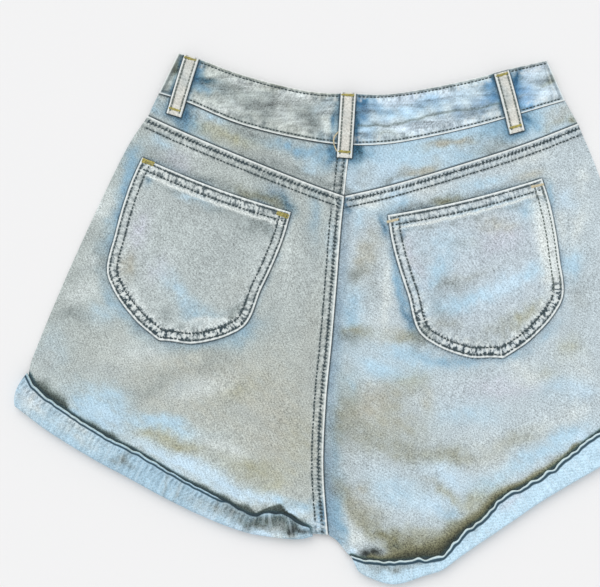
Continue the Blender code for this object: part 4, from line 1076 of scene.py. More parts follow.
def makePanel(half):
    name, onRight = half["name"], half["name"] == "right"
    across = sharesOf(half["length"], panel["coarse"], panel["sideFine"], panel["seamFine"], panel["fine"])
    downShares = sharesOf(panel["tall"], panel["coarse"], panel["yokeFine"], panel["hemFine"], panel["fine"])
    grid = np.concatenate([legPlan(half, across, downShares), tuckPlan(half, across, panel["tuck"])])
    grid = pullBack(grid, top=True, inner=True)
    tucked = len(panel["tuck"])
    low = backLow(grid, tucked)
    away, run = legSeam(grid, name)
    relief = seamRelief(away, run, 11)
    relief[-tucked:] = 0.0
    x, past = grid[..., 0], pastBrim(grid, half)
    besidePocket = awayFrom(grid, rounds[name], mouths[name])
    clear = 0.6 if onRight else 3.0 * ease((x - panel["clearFrom"]) / panel["shadowLineRun"])
    contact = np.minimum(besidePocket, past + clear)
    shadow = hemShadow(grid, half)
    wash = washOf(grid, legPatches, legBase[name], 21)
    # painted shade in a soft blue halo around the pockets
    wash = shadeBy(wash, 0.3 * bell(besidePocket, 3.6) * (1 + wander(grid, 18, 33)), "steel")
    if onRight:
        # this leg lies under the centre seam, with a painted contact shadow and a darker blue strip beside it,
        # and its shadow over the turned-up end is deeper
        centreAway = awayFrom(grid, centreFine)
        contact = np.minimum(contact, centreAway)
        wash = shadeBy(wash, 0.5 * bell(centreAway - 2.0, 7.5) * (1 + 0.3 * wander(grid, 20, 35)), "steel")
        wash = shadeBy(wash, 0.7 * hemShadow(grid, half, 1.35), "drab")
    wash = shadeBy(wash, 1.15 * shadow, "olive" if onRight else "slate")
    wash = shadeBy(wash, 0.9 * shadow ** (8 if onRight else 4), "black")
    # a painted dark line of contact shadow on the leg beside the turned-up end
    line = 0.85 if onRight else ease((panel["shadowLineTo"] - x) / panel["shadowLineRun"])
    wash = shadeBy(wash, line * bell(past, 1.8) * (1 - 0.6 * shadow ** 3), "teal")
    top = low + wallAt(stack["cloth"], awayFrom(grid, half["outside"])) + relief
    cut = (name + "BackPanel", "back_panel_" + name, "denim", panel["cut"][name], ["front_panel_" + name])
    addSheet(cut, grid, low, top, legLook[name], wash, run, away, contact)


def legTop(name):
    return lambda points: backLow(points) + stack["cloth"] + seamRelief(*legSeam(points, name), 11)


for half in halves:
    makePanel(half)
print("leg panels")


# Yokes

yoke = {"width": 196.0, "tall": 42.0, "cut": (200.0, 62.0), "rows": (3.6, 9.9),
        "bandClear": {"left": 0.0, "right": 0.9}}


def makeYoke(half):
    name, onRight = half["name"], half["name"] == "right"
    grid = yokePlan(half, sharesOf(yoke["width"], 1.8, 3.0, 16.0), sharesOf(yoke["tall"], 0.95))
    grid = pullBack(grid, top=True, bottom=True, inner=True)
    low = backLow(grid)
    away, run, relief = farAway, 0.0, 0.0
    if not onRight:
        # the centre seam is felled onto the left yoke
        away, run = nearest(grid, yokeCentre)
        relief = seamRelief(away, run + runApart["yokeCentre"], 12)
    seamAway, seamRun = nearest(grid, seamFine)
    relief = relief + 0.16 * wanderAlong(seamRun, seamAway, 0.4, 8, 13) * ease(1 - seamAway / 14)
    underBand = awayFrom(grid, footFine) + yoke["bandClear"][name]
    # a painted contact shadow along the loops, the yoke seam and the foot of the band
    contact = np.minimum(awayFrom(grid, *loopEdges, seamFine), underBand)
    wash = washOf(grid, yokePatches, yokeBase[name], 23)
    # darker blue beside the loops: unfaded cloth and painted shade
    wash = shadeBy(wash, 0.5 * bell(awayFrom(grid, *loopEdges), 4.0), "deep")
    top = low + wallAt(stack["cloth"], awayFrom(grid, half["outside"])) + relief
    cut = (name + "Yoke", "yoke_" + name, "yoke_denim", yoke["cut"], ["front_panel_" + name])
    addSheet(cut, grid, low, top, yokeLook, wash, run, away, contact)


for half in halves:
    makeYoke(half)
print("yokes")


# Back waistband

bandGroove = np.array([(13, 173), (42, 174), (69, 180), (96, 186), (123, 189.5), (141, 194)])
# Creases of the band: x1, y1, x2, y2, width, rise
bandCreases = (
    (13, 173, 131, 191, 2.6, -0.4), (15, 178, 128, 196, 4, 0.3), (-139, 221, -114, 212, 2.6, -0.5),
    (-155, 226, -146, 219, 2.4, -0.5), (-152, 214, -158, 204, 2.8, -0.4), (158, 205, 174, 201, 2.2, -0.5),
    (166, 226, 178, 206, 3, 0.3), (-80, 210, -62, 182, 3, 0.25), (-118, 200, -96, 190, 3, -0.3),
)
band = {"tall": 43.0, "row": 2.7, "pucker": 0.2, "cut": (400.0, 46.0), "frontCut": (204.0, 46.0),
        "frontWidth": 196.0, "frontDrop": 4.0}


def bandPlan(first, last, shares, downShares, drop=0.0):
    rows = evenRows([waistLine, footLine], first, last, shares)
    top, bottom = onSpline(waistLine, rows), onSpline(footLine, rows)
    sunk = drop * np.sin(math.pi * rows / lastRow)[:, None]
    top = top + (bottom - top) * sunk / np.linalg.norm(bottom - top, axis=1, keepdims=True)
    v = downShares[:, None, None]
    return pullBack(top[None] * (1 - v) + bottom[None] * v, bottom=True)


def bandRelief(points):
    topAway, run = nearest(points, waistFine)
    edges = (topAway, awayFrom(points, footFine))
    puckers = band["pucker"] * wanderAlong(run, topAway, 0.25, 9, 31)
    sewn = sum(0.22 * bell(away - 1.0, 0.8) - 0.28 * bell(away - band["row"], 0.8) for away in edges)
    # flat under the middle of each loop
    middle = np.min([np.abs(points - edge[:4].mean(axis=0)).sum(-1) for edge in loopEdges], axis=0)
    loose = ease(awayFrom(points, *loopEdges) / 4.0) * (middle >= 8)
    return (puckers + creaseRelief(points, bandCreases, 5)) * loose + sewn


def bandTop(points):
    return bandInner(points) + stack["band"] + bandRelief(points)


def makeBand():
    across = sharesOf(travel(footFine)[-1], 1.6, 4.0, 4.0)
    grid = bandPlan(0, lastRow, across, sharesOf(band["tall"], 0.95, 4.0, 4.0, 0.7))
    low = bandInner(grid)
    rim = np.vstack([footFine[:1], waistFine, footFine[-1:]])
    topAway, run = nearest(grid, waistFine)
    ends = [np.array([waistLine[k], footLine[k]]) for k in (0, -1)]
    away = np.minimum(topAway + 0.7, awayFrom(grid, footFine, *ends))
    wash = washOf(grid, bandPatches, bandBase["left"], 25)
    wash += ease((grid[..., :1] - 4) / 12) * (np.array(bandBase["right"]) - bandBase["left"])
    contact = awayFrom(grid, *loopEdges)
    # unfaded and in painted shade beside the loops, yellowed at the top, painted shade in the groove of the
    # right half
    wash = shadeBy(wash, 0.7 * bell(contact, 3.4) * (1 + 0.4 * wander(grid, 14, 37)), "deep")
    wash = shadeBy(wash, 0.35 * bell(topAway, 2.4), "sand")
    groove = awayFrom(grid + 0.8 * wander(grid, 14, 39)[..., None], bandGroove)
    wash = shadeBy(wash, 0.52 * bell(groove, 1.2) + 0.06 * bell(groove, 4.0), "slate")
    top = low + wallAt(stack["band"], awayFrom(grid, rim)) + bandRelief(grid)
    cut = ("backWaistband", "waistband_back", "band_denim", band["cut"], ["yoke_left", "yoke_right"])
    addSheet(cut, grid, low, top, bandLook, wash, run, away, contact)


makeBand()
print("waistband")


# Patch pockets

def pocketRelief(points, name):
    away, run = nearest(points, rounds[name])
    mouthAway, mouthRun = nearest(points, mouths[name])
    turned = 0.3 * ease((pocket["turn"] - away) / 2.0)
    hem = 0.55 * ease((pocket["hem"] - mouthAway) / 1.4)
    rows = sum(0.28 * bell(away - row, 0.8) for row in pocket["rows"])
    hemRows = sum(0.28 * bell(mouthAway - row, 0.8) for row in pocket["hemRows"])
    puckers = 0.24 * wanderAlong(run, away, 0.3, 7, 41) * ease(1 - away / 16)
    puckers += 0.2 * wanderAlong(mouthRun, mouthAway, 0.3, 8, 43) * ease(1 - mouthAway / 22)
    hand = 0.25 * wander(points, 30, 47)
    return np.maximum(turned, hem) - rows * (mouthAway > 1) - hemRows * (away > 1) + puckers + hand


def pocketLow(points):
    return backLow(points) + stack["cloth"] + stack["pocketGap"]


def pocketTop(name):
    return lambda points: pocketLow(points) + stack["pocket"] + pocketRelief(points, name)


def makePocket(name):
    shares = sharesOf(pocket["width"], pocket["coarse"], 12.0, 12.0, pocket["fine"])
    downShares = sharesOf(pocket["depth"], pocket["coarse"], 17.0, 12.0, pocket["fine"])
    grid = pocketPlan(name, shares, downShares)
    low = pocketLow(grid)
    mouthAway, mouthRun = nearest(grid, mouths[name])
    roundAway, run = nearest(grid, rounds[name])
    away = np.minimum(mouthAway, roundAway)
    run = np.where(mouthAway < roundAway, mouthRun + runApart["mouth"], run)
    lowEnd = ease((downShares[:, None] * pocket["depth"] - 84) / 36)
    scallop = wanderAlong(mouthRun, mouthAway, 0.2, 9, 91)
    tuft = wanderAlong(run, roundAway, 0.3, 11, 93)
    # pale over the turned edges, white along the hem's step and painted shade just below it, pale tufts inside
    # the rows
    wash = washOf(grid, pocketPatches, pocketBase[name], 27)
    wash = shadeBy(wash, 0.35 * ease((11.5 - away) / 2), "pale")
    wash = shadeBy(wash, 0.9 * bell(mouthAway - 12.9 - 0.7 * scallop, 1.7), "white")
    wash = shadeBy(wash, (0.3 + 0.35 * scallop) * bell(mouthAway - 16.8 - 1.2 * scallop, 1.7), "smoke")
    wash = shadeBy(wash, (0.4 + 0.6 * tuft) * bell(roundAway - 13.0, 3.4) * (0.35 + 0.65 * lowEnd), "pale")
    pull = 0.32 + 0.68 * lowEnd * ease(0.9 + 0.6 * wander(grid, 34, 95))
    if name == "right":
        # worn pale down its outer side
        rubbed = ease((shares - 0.82) / 0.1) * ease((mouthAway - 14) / 8) * ease((100 - mouthAway) / 14)
        pull = pull * (1 - 0.85 * rubbed)
        wash = shadeBy(wash, 0.7 * rubbed, "white")
    atMouth = ease((16 - mouthAway) / 3) * ease(0.8 + 0.5 * scallop)
    pull = np.maximum(pull, pocket["mouthPull"][name] * atMouth)
    rim = np.vstack([rounds[name], mouths[name][::-1]])
    top = low + wallAt(stack["pocket"], awayFrom(grid, rim)) + pocketRelief(grid, name)
    cut = (name + "Pocket", "pocket_" + name, "pocket_denim", pocket["cut"], ["back_panel_" + name])
    addSheet(cut, grid, low, top, pocketLook, wash, run, away, pull=pull)


for name in ("left", "right"):
    makePocket(name)
print("pockets")


# Belt loops on the back

loopPatches = (
    (-141, 216, 12, 6, 72, "grey", .55), (145, 201, 14, 6, -75, "grey", .55),
    (1, 176, 14, 5, 86, "grey", .25),
)


def loopLow(loop, downShares, plan):
    # a loop arches over the band and lies on the yoke with its foot
    top, foot = np.array(loop["top"]), np.array(loop["foot"])
    length = np.linalg.norm(foot - top)
    steps = np.linspace(0, 1, 200)
    crossing = steps[np.argmin(awayFrom(top + (foot - top) * steps[:, None], footFine))]
    past = crossing + loopSize["past"] / length
    landing = crossing + loopSize["landing"] / length
    marks = np.concatenate([past * np.array(loopSize["steps"]), [landing, 1.0]])
    across = np.array([0.0, 0.5, 1.0])
    coarse = loopPlan(loop, marks, across)
    arch = loopSize["arch"] * np.sin(math.pi * np.clip(marks / past, 0, 1))
    onBand, onYoke = bandInner(coarse) + stack["band"], backInner(coarse) + stack["cloth"]
    under = np.where((marks <= past)[:, None], np.maximum(onBand, onYoke), onYoke)
    height = under + stack["gap"] + arch[:, None]
    smooth = np.array([np.interp(downShares, marks, height[:, k]) for k in range(3)])
    return np.array([np.interp(plan, across, smooth[:, r]) for r in range(len(downShares))])


def makeLoop(loop):
    shares = sharesOf(loopSize["width"], 0.6, 1.8, 1.8, 0.3)
    downShares = sharesOf(loopSize["length"], 0.8)
    grid = loopPlan(loop, downShares, shares)
    low = loopLow(loop, downShares, shares)
    away = np.minimum(shares, 1 - shares) * loopSize["width"]
    relief = 0.3 * bell(away - loopSize["ridge"], 0.7) - 0.3 * bell(away - loopSize["row"], 0.6)
    top = low + wallAt(stack["loop"], away, loopSize["rim"]) + relief + 0.08 * wander(grid, 6, 51)
    cut = (loop["piece"], loop["node"], "loop_denim", loopSize["cut"], ["waistband_back"])
    run = downShares[:, None] * loopSize["length"]
    addSheet(cut, grid, low, top, loopLook, washOf(grid, loopPatches, loopBase, 29), run, away)

    def heightAt(points):
        step = np.array(loop["foot"]) - np.array(loop["top"])
        share = np.clip((points - loop["top"]) @ step / (step @ step), 0, 1)
        return np.interp(share, downShares, top[:, top.shape[1] // 2]) + 0.02

    loop["heightAt"] = heightAt
    rows = loopPlan(loop, np.linspace(0.03, 0.97, 30), np.array([0.18, 0.82]))
    for k in (0, 1):
        softRows.append((rows[:, k], heightAt, loopSize["rowPitch"]))


for loop in loops:
    makeLoop(loop)
print("loops")


# Turned-up leg ends

cuffForm = {"edgeRound": 1.2, "swell": 4.2, "swellRun": 22.0, "across": 18, "step": 1.2, "hiddenStep": 4.0,
            "waveSize": 9, "wave": {"left": 0.45, "right": 0.95}, "turnIn": 6.0}
# how far the first row of marks lies back from the edge of the left one, so that over its hollow a dark line of
# painted shade runs to the edge: x, distance
cuffHidden = ((-170, -155, -114, -104, -24, -18), (0, 0.4, 0.5, 2.4, 2.4, 0.6))
# Worn places of the turned-up ends, and painted shade in the hollow under the left one's bulge and in its
# folds: x, y, reach, width, turn, shade, share
cuffPatches = (
    (-282, -72, 12, 8, 0, "lilac", .4), (-200, -131, 11, 3.5, -25, "smoke", .55),
    (-195, -124, 9, 2.6, 60, "smoke", .45), (-160, -150, 12, 2.6, 70, "smoke", .4),
    (-150, -158, 9, 2.6, 65, "smoke", .4), (-116, -170, 9, 2.6, 55, "smoke", .5),
    (-101, -177, 19, 8, -22, "smoke", .6), (-84, -184, 11, 2.4, 48, "black", .6),
    (-66, -186, 20, 9, 0, "smoke", .8), (-70, -181, 20, 4.5, 4, "slate", .75),
    (-51, -185, 9, 6, -20, "slate", .85), (-62, -190, 12, 3.4, 0, "grey", .6),
    (-44, -190, 4.5, 7, 0, "black", .95), (-56, -184, 12, 3.4, -10, "smoke", .7),
    (-36, -191, 8, 3.4, -10, "black", .6), (-240, -100, 16, 6, -30, "grey", .3),
    (-130, -165, 16, 6, -26, "grey", .3), (44, -222, 24, 4, 0, "smoke", .55),
    (150, -164, 14, 5, 30, "lilac", .4), (22, -226, 10, 7, -30, "grey", .35),
    (120, -186, 12, 4, 45, "smoke", .3), (-122, -178, 11, 5, -25, "ice", .6),
    (-60, -196, 20, 3, 0, "pale", .7), (-78, -193, 12, 3.5, -10, "ice", .9),
    (-108, -177, 8, 5, -20, "smoke", .4), (-69, -180, 10, 3, 0, "slate", .6),
    (-280, -75, 16, 12, 0, "pale", .5), (-240, -101, 30, 9, -27, "pale", .4),
    (-99, -188, 12, 4, -20, "ice", .6),
)

# Folds across them: x1, y1, x2, y2, width, rise
cuffCreases = (
    (-88, -176, -80, -193, 2.6, -0.9), (-76, -181, -84, -192, 2.2, 0.7), (-66, -180, -50, -184, 6, 0.9),
    (-42, -184, -46, -196, 3, -1.2), (-36, -188, -30, -196, 2.6, -0.8), (-116, -166, -124, -178, 2.6, -0.6),
    (-104, -168, -112, -182, 3, 0.4), (-160, -140, -168, -156, 2.6, -0.4),
    (-196, -118, -206, -134, 2.8, -0.4), (-236, -94, -246, -108, 3, 0.4), (24, -218, 32, -236, 3.4, 0.5),
    (52, -219, 50, -238, 3, -0.4), (92, -212, 96, -222, 2.6, -0.6), (128, -180, 138, -190, 2.8, 0.5),
    (160, -154, 168, -166, 2.8, -0.4),
)

cuffMarks = {"rope": 60.0, "ropePitch": 2.8, "ropeStretch": 0.14, "ropePale": 0.3, "ridgeShare": 0.7,
             "rowDark": 0.95, "rowPatchy": (0.95, 0.7), "dark": (20, 56, 72), "pale": (214, 232, 242),
             "tickAt": ((3.0, 7.6),), "tickPitch": 4.2}
cuffLook = {"left": washedDenim("left turn-up", -60, ropeDark=0.2, tick=0.34, ridge=0.8, rows=(1.85,),
                                ridgePale=(184, 204, 194), rowWide=(0.4, 1.05), **cuffMarks),
            "right": washedDenim("right turn-up", -52, ropeDark=0.1, tick=0.08, ridge=1.15, rows=(2.1,),
                                 ridgePale=(206, 218, 210), rowWide=(0.7, 1.5), **cuffMarks)}


def cuffSection(width, shut):
    # outer path and the inner path that faces it: distance from the fold, height off the inner face
    nose, base = stack["nose"], stack["cloth"] + stack["gap"]
    outer = base + stack["cuff"]
    low = 0.0 if shut else base
    shoulder = width - min(cuffForm["edgeRound"], (width - nose) / 3)
    path = ([(width, low + 0.3 * (outer - low)), (width, outer - 0.95), (width - 0.35, outer - 0.3)]
            + [(x, outer) for x in np.linspace(shoulder, nose, cuffForm["across"])]
            + [(nose * 0.62, outer - nose * 0.1), (nose * 0.32, outer - nose * 0.32),
               (nose * 0.1, outer - nose * 0.62), (0.0, outer / 2), (nose * 0.1, nose * 0.5),
               (nose * 0.32, nose * 0.22), (nose * 0.86, 0.0)])
    inner = [(width - 0.1, low)] + [(x, low) for x in np.linspace(width - 0.4, nose * 1.04, len(path) - 4)]
    inner += [(nose, low if shut else base * 0.6), (nose, low if shut else base * 0.3), (nose, 0.0)]
    return np.array(path), np.array(inner)


def cuffFaces(count, around):
    # quads between rings, and a cap at either end between the outer and the inner path
    number = np.arange(count * around).reshape(count, around)
    ahead = np.roll(number, -1, axis=1)
    faces = [np.stack([number[:-1], ahead[:-1], ahead[1:], number[1:]], -1).reshape(-1, 4)]
    for ring, order in ((number[0], 1), (number[-1], -1)):
        outer, inner = ring[:around // 2], ring[:around // 2 - 1:-1]
        faces.append(np.stack([outer[:-1], inner[:-1], inner[1:], outer[1:]], -1)[:, ::order])
    return np.vstack(faces)


def makeCuff(half, upper):
    name, length, layer = half["name"], half["length"], "back" if upper else "front"
    ends = np.array([0.0, stack["endWall"], stack["endWall"] + 0.1]) / length
    between = sharesOf(length, cuffForm["step"] if upper else cuffForm["hiddenStep"])
    last = (1 - ends[-1] - 0.006) if half["inseam"] else (1 - 0.05)
    between = between[(between > ends[-1] + 0.006) & (between < last)]
    shares = np.concatenate([ends, between, 1 - ends[::-1] if half["inseam"] else []])
    edge, fold = hemAt(half, shares)
    inside = stack["cuffLift"] + stack["cloth"]
    rings, marks = [], []
    for k, run in enumerate(shares * length):
        toEnd = min(run, length - run)
        shut = k < 2 or (half["inseam"] and k >= len(shares) - 2)
        width = np.linalg.norm(edge[k] - fold[k])
        path, inner = cuffSection(width, shut)
        both = np.vstack([path, inner[::-1]])
        across, height = both[:, :1] / width, both[:, 1].copy()
        wave = wander(np.array([run, 0.0]), cuffForm["waveSize"], 67) * ease(toEnd / 12)
        wave = cuffForm["wave"][name] * wave + (brim[name] if upper else 0.0)
        swell = cuffForm["swell"] * math.exp(-(run / cuffForm["swellRun"]) ** 2) * (1 if half["inseam"] else -1)
        plan = fold[k] + (edge[k] - fold[k]) * (across + wave / width * across ** 3)
        plan[:, :1] += swell * 4 * across * (1 - across)
        place = np.column_stack([np.full(len(path), run), path[:, 0]])
        ripple = 0.34 * wander(place * (1, 0.5), 13, 61) + 0.16 * wander(place * (1, 0.25), 5, 62)
        relief = ripple * ease(path[:, 0] / 6) * (1.0 if upper else 0.4)
        if upper:
            relief += creaseRelief(plan[:len(path)], cuffCreases, 15) * ease(path[:, 0] / 5)
        outer = slice(1, len(path) - 5)
        height[outer] += (relief * ease(toEnd / 8.0))[outer]
        z = inside + stack["gap"] + puffAt(plan) + height if upper else np.maximum(inside - height, 0.0)
        rings.append(np.column_stack([plan, z]))
        # a painted contact shadow where the wall of the turned-up end meets the cloth
        contactShadow = np.full(len(both), farAway)
        contactShadow[[0, -1]] = 0.0
        hidden = np.interp(edge[k][0], *cuffHidden) if name == "left" else 0.0
        marks.append(np.column_stack([np.full(len(both), run), width - both[:, 0] + hidden, contactShadow]))
    points = np.vstack(rings)
    wash = washOf(points[:, :2], cuffPatches, cuffBase[name], 63)
    faces = cuffFaces(len(rings), len(rings[0]))
    piece = clothPiece(name + layer.capitalize() + "Cuff", points, faces, cuffLook[name], wash, np.array(marks),
                       np.ones(len(points)))
    turnFacesOut(piece.data)
    cutWidth = float(np.linalg.norm(edge - fold, axis=1).mean()) + cuffForm["turnIn"]
    cut = (piece.name, f"cuff_{name}_{layer}", f"cuff_{name}_denim", (length, cutWidth),
           [f"{layer}_panel_{name}"])
    stateCut(cut)


def turnFacesOut(mesh):
    # a closed mesh whose volume comes out negative is inside out
    points = np.array([v.co for v in mesh.vertices])
    mesh.calc_loop_triangles()
    corner = np.array([t.vertices[:] for t in mesh.loop_triangles])
    a, b, c = points[corner[:, 0]], points[corner[:, 1]], points[corner[:, 2]]
    if (np.cross(a, b) * c).sum() < 0:
        mesh.flip_normals()


for half in halves:
    makeCuff(half, True)
    makeCuff(half, False)
print("turn-ups")


# Front layer, which the garment lies on

front = {"tall": 300.0, "cut": (302.0, 404.0), "loopCut": (13.5, 54.0), "loopLength": 50.0}
fly = {"width": 36.0, "straight": 95.0, "length": 150.0, "tip": 4.0, "columns": 22, "cut": (38.0, 152.0)}


def flyOffsets(rows):
    turn = np.clip((travel(rows[:, -1]) - fly["straight"]) / (fly["length"] - fly["straight"]), 0, 1)
    return fly["width"] * np.sqrt(1 - turn * turn)


def alongRow(row, first, last, count):
    # places on a row, by their distance from its inner end
    return placeAt(row[::-1], np.linspace(first, last, count))


def frontPlan(half):
    across = sharesOf(half["length"], 4.4, 3.0, 6.0, 1.5)
    downShares = sharesOf(front["tall"], 4.0, 0.0, 12.0, 2.0)
    yokeRows = yokePlan(half, across, np.linspace(0, 1, 12))[:-1]
    return np.concatenate([yokeRows, legPlan(half, across, downShares), tuckPlan(half, across)])


def makeFront(half):
    name = half["name"]
    grid = frontPlan(half)
    if name == "left":
        for row, offset in zip(grid, flyOffsets(grid)):
            if offset > 0:
                row[2:] = alongRow(row[2:], travel(row[2:])[-1], offset, len(row) - 2)
    grid = pullBack(grid, top=True, inner=True)
    high = frontInner(grid, 2)
    relief = np.clip(creaseRelief(grid * (1.0, 0.93) + (6.0, -4.0), creases, 8) * 0.6, 0.0, 0.5)
    relief[-2:] = 0.0
    low = high - wallAt(stack["cloth"], awayFrom(grid, half["outside"])) + relief
    away, run = nearest(grid, np.vstack([footLine[centreRow], centreFine[2:]]))
    wash = washOf(grid, legPatches, legBase[name], 71)
    cut = (name + "FrontPanel", "front_panel_" + name, "denim", front["cut"], ["floor"])
    addSheet(cut, grid, low, high, legLook[name], wash, run, away, awayFrom(grid, half["hem"]))


def makeFly():
    rows = frontPlan(left)
    grid = np.array([alongRow(row, offset, 0.0, fly["columns"])
                     for row, offset in zip(rows, flyOffsets(rows)) if offset > fly["tip"]])
    grid = pullBack(grid, top=True, inner=True, outer=True)
    high = frontInner(grid)
    away, run = nearest(grid, grid[:, 0])
    cut = ("flyPlacket", "fly", "denim", fly["cut"], ["floor"])
    wash = washOf(grid, legPatches, legBase["left"], 71)
    addSheet(cut, grid, high - stack["cloth"], high, legLook["left"], wash, run, away)


def makeFrontBand(half):
    name = half["name"]
    shares = sharesOf(band["frontWidth"], 4.0, 3.0, 3.0, 1.0)
    downShares = sharesOf(band["tall"], 2.0, 3.0, 3.0, 1.0)
    grid = bandPlan(half["firstRow"], centreRow, shares, downShares, band["frontDrop"])
    grid = pullBack(grid, inner=True)
    high = np.full(grid.shape[:2], stack["bandLift"] + stack["band"])
    rim = np.vstack([grid[-1, 0], grid[:, 0][::-1], grid[0]])
    away, run = nearest(grid, grid[0])
    footAway = awayFrom(grid, grid[-1])
    rows = sum(0.28 * bell(value - band["row"], 0.9) for value in (away, footAway))
    low = high - wallAt(stack["band"], awayFrom(grid, rim)) + rows
    wash = washOf(grid, bandPatches, bandBase[name], 73)
    cut = (name + "FrontWaistband", "waistband_front_" + name, "band_denim", band["frontCut"],
           ["front_panel_" + name])
    addSheet(cut, grid, low, high, bandLook, wash, run, np.minimum(away, footAway))


def makeFrontLoop(name, share):
    top, foot = (onSpline(line, share * lastRow)[0] for line in (waistLine, footLine))
    step = (foot - top) / np.linalg.norm(foot - top)
    ends = {"top": top + step * (4.0 + stack["rim"]), "foot": foot + step * (stack["loopFoot"] - stack["rim"])}
    shares = sharesOf(loopSize["width"], 0.9, 1.8, 1.8, 0.5)
    grid = loopPlan(ends, sharesOf(front["loopLength"], 2.0), shares)
    high = np.full(grid.shape[:2], stack["loop"])
    away = np.minimum(shares, 1 - shares) * loopSize["width"]
    low = high - wallAt(stack["loop"], away, loopSize["rim"]) + 0.25 * bell(away - loopSize["row"], 0.6)
    run = np.arange(len(grid))[:, None] * 2.0
    cut = (name + "FrontLoop", "loop_front_" + name, "loop_denim", front["loopCut"], ["floor"])
    addSheet(cut, grid, low, high, loopLook, washOf(grid, (), loopBase, 29), run, away)


for half in halves:
    makeFront(half)
    makeFrontBand(half)
makeFly()
makeFrontLoop("left", 0.29)
makeFrontLoop("right", 0.71)
print("front layer")


# Waist button

button = {"radius": 8.5, "height": 2.4, "slope": 0.8, "sides": 48,
          "steps": ((1.1, 0.0), (0.6, -0.5), (2.6, 0.0), (0.5, 0.4))}  # insets of its face: width, depth


def makeButton():
    x, y = (waistLine[centreRow] + footLine[centreRow]) / 2 * mm
    bpy.ops.object.select_all(action="DESELECT")
    bpy.ops.mesh.primitive_cone_add(vertices=button["sides"], radius1=(button["radius"] - button["slope"]) * mm,
                                    radius2=button["radius"] * mm, depth=button["height"] * mm,
                                    location=(x, y, button["height"] / 2 * mm))
    piece = bpy.context.active_object
    piece.name = "waistButton"
    bpy.ops.object.transform_apply(location=True, rotation=True, scale=True)
    bpy.ops.object.mode_set(mode="EDIT")
    bpy.ops.mesh.select_mode(type="FACE")
    bpy.ops.mesh.select_all(action="DESELECT")
    bpy.ops.object.mode_set(mode="OBJECT")
    for polygon in piece.data.polygons:
        polygon.select = polygon.normal.z < -0.9
    bpy.ops.object.mode_set(mode="EDIT")
    for width, depth in button["steps"]:
        bpy.ops.mesh.inset(thickness=width * mm, depth=depth * mm)
    bpy.ops.object.mode_set(mode="OBJECT")
    bpy.ops.object.shade_smooth_by_angle(angle=math.radians(35))
    brass = speckled("aged brass", 0.42, 420.0, 4.0, 0.65, linear(122, 92, 58), linear(176, 142, 96))
    brass.node_tree.nodes["Principled BSDF"].inputs["Metallic"].default_value = 1.0
    piece.data.materials.clear()
    piece.data.materials.append(brass)
    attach(piece, "root")
    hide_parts("button")


makeButton()
print("button")


# Rows of stitches and the tacks

def yokeTop(points):
    away, run = nearest(points, yokeCentre)
    return backLow(points) + stack["cloth"] + seamRelief(away, run + runApart["yokeCentre"], 12)


seamRow = finer(seamFine, 600)
leftSeam, rightSeam = seamRow[seamRow[:, 0] < 0.8], seamRow[seamRow[:, 0] > 0.8]
for offset in felled["rows"]:
    darkRows.append((part(beside(leftSeam, -offset), 2.0, -3.0), legTop("left")))
    darkRows.append((part(beside(rightSeam, -offset), 3.0, -2.0), legTop("right")))
    darkRows.append((part(beside(centreFine, -offset), 14.0, -12.0), legTop("left")))
for offset in yoke["rows"]:
    darkRows.append((part(beside(finer(yokeCentre, 30), -offset), 2.0, -2.0), yokeTop))


def clearOfLoops(line):
    # stretches of a row on the band that no belt loop covers
    clear = awayFrom(line, *loopEdges) > 0.8
    for edge in loopEdges:
        step, side = edge[3] - edge[0], edge[1] - edge[0]
        along = (line - edge[0]) @ step / (step @ step)
        across = (line - edge[0]) @ side / (side @ side)
        clear &= ~((along > -0.02) & (along < 1.02) & (across > -0.05) & (across < 1.05))
    breaks = np.flatnonzero(np.diff(clear.astype(int)))
    for run in np.split(np.arange(len(line)), breaks + 1):
        if clear[run[0]] and len(run) > 6:
            yield line[run]


for line, offset in ((waistFine, -band["row"]), (footFine, band["row"])):
    for stretch in clearOfLoops(part(beside(finer(line, 900), offset), 2.5, -2.5)):
        darkRows.append((stretch, bandTop))


def offsetRow(line, offset):
    # a row beside an edge, without the loops that it would make at tight corners
    line = finer(line, 400)
    row = beside(line, offset)
    return row[awayFrom(row, line) > abs(offset) - 0.15]


for name in ("left", "right"):
    top = pocketTop(name)
    for inset in pocket["stitchRows"]:
        row = offsetRow(rounds[name], inset)
        darkRows.append((part(row, 4.0, -pocket["rubbed"] if name == "right" else -4.0), top))
        if name == "right":
            softRows.append((part(row, travel(row)[-1] - pocket["rubbed"] + 3.0, -4.0), top))
    for inset in pocket["hemRows"]:
        darkRows.append((part(offsetRow(mouths[name], -inset), 5.0, -5.0), top))

sewing("backStitches", darkRows, darkThread)
sewing("wornStitches", softRows, softThread)
print("stitches")


# Tacks: rows of close short stitches

tack = {"length": 10.5, "width": 4.0, "pitch": 1.15, "stitch": 1.9, "loopLength": 11.0, "thin": 2.4}


def tackRows(x, y, turn, heightAt, length=tack["length"], width=tack["width"]):
    c, s = math.cos(math.radians(turn)), math.sin(math.radians(turn))
    rows = []
    for k in np.arange(-length / 2, length / 2, tack["pitch"]):
        middle, reach = np.array([x + k * c, y + k * s]), np.array([width / 2 * s, -width / 2 * c])
        rows.append((np.array([middle + reach, middle - reach]), heightAt, tack["stitch"]))
    return rows


def besideLoop(points):
    # the centre loop's loose thread lies on the band above and on the yoke below its foot
    onBand = points[:, 1] > footLine[centreRow][1] + 1.0
    return np.maximum(bandTop(points) * onBand, yokeTop(points)) + 0.2


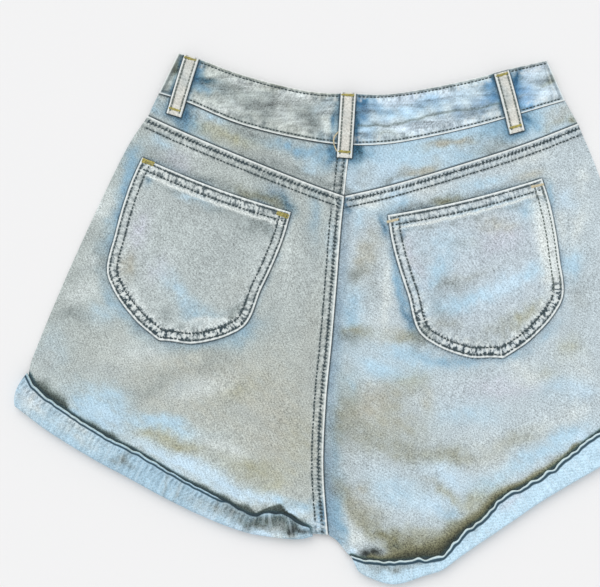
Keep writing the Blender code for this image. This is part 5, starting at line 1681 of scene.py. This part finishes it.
goldRows = tackRows(-175.6, 140.6, -20, pocketTop("left")) + tackRows(-54.6, 93.6, -20, pocketTop("left"))
paleRows = (tackRows(44.6, 88.4, 13, pocketTop("right"), width=tack["thin"])
            + tackRows(174.6, 119.8, 13, pocketTop("right"), width=tack["thin"]))
for loop in loops:
    top, foot = np.array(loop["top"]), np.array(loop["foot"])
    ahead = (foot - top) / np.linalg.norm(foot - top)
    turn = math.degrees(math.atan2(ahead[0], -ahead[1]))
    for (x, y), width in ((top + ahead * 2.2, 2.4), (foot - ahead * 5.5, 2.6)):
        goldRows += tackRows(x, y, turn, loop["heightAt"], tack["loopLength"], width)
looseEnd = [(-4.6, 168.0), (-8.6, 162.0), (-8.4, 156.0), (-5.4, 150.5), (-2.6, 149.5)]
paleRows.append((onEdge(looseEnd, np.linspace(0, 1, 30)), besideLoop, 2.0))
sewing("goldTacks", goldRows, goldThread)
sewing("paleTacks", paleRows, paleThread)
print("tacks")


# Floor, light and camera

def makeFloor():
    bpy.ops.object.select_all(action="DESELECT")
    bpy.ops.mesh.primitive_plane_add(size=40.0, location=(0, 0, 0))
    floor = bpy.context.active_object
    floor.name = "floor"
    material, tree, shader = newMaterial("pale floor", 0.9)
    shader.inputs["Base Color"].default_value = (0.86, 0.86, 0.865, 1.0)
    shader.inputs["Specular IOR Level"].default_value = 0.1
    floor.data.materials.append(material)


def makeLight():
    world = bpy.data.worlds.new("studio")
    bpy.context.scene.world = world
    world.use_nodes = True
    back = world.node_tree.nodes["Background"]
    back.inputs["Color"].default_value = (1.0, 1.0, 1.0, 1.0)
    back.inputs["Strength"].default_value = 0.755
    sun = bpy.data.objects.new("soft sun", bpy.data.lights.new("soft sun", "SUN"))
    sun.data.energy = 1.2
    sun.data.angle = math.radians(50)
    sun.rotation_euler = (math.radians(-38), math.radians(-16), 0)
    bpy.context.scene.collection.objects.link(sun)


def makeCamera():
    camera = bpy.data.objects.new("camera", bpy.data.cameras.new("camera"))
    camera.data.lens = 85
    camera.data.sensor_width = 36
    camera.location = (-0.0391, 0.0225, 1.281)
    bpy.context.scene.collection.objects.link(camera)
    bpy.context.scene.camera = camera


makeFloor()
makeLight()
makeCamera()
bpy.context.scene.view_settings.view_transform = "Standard"
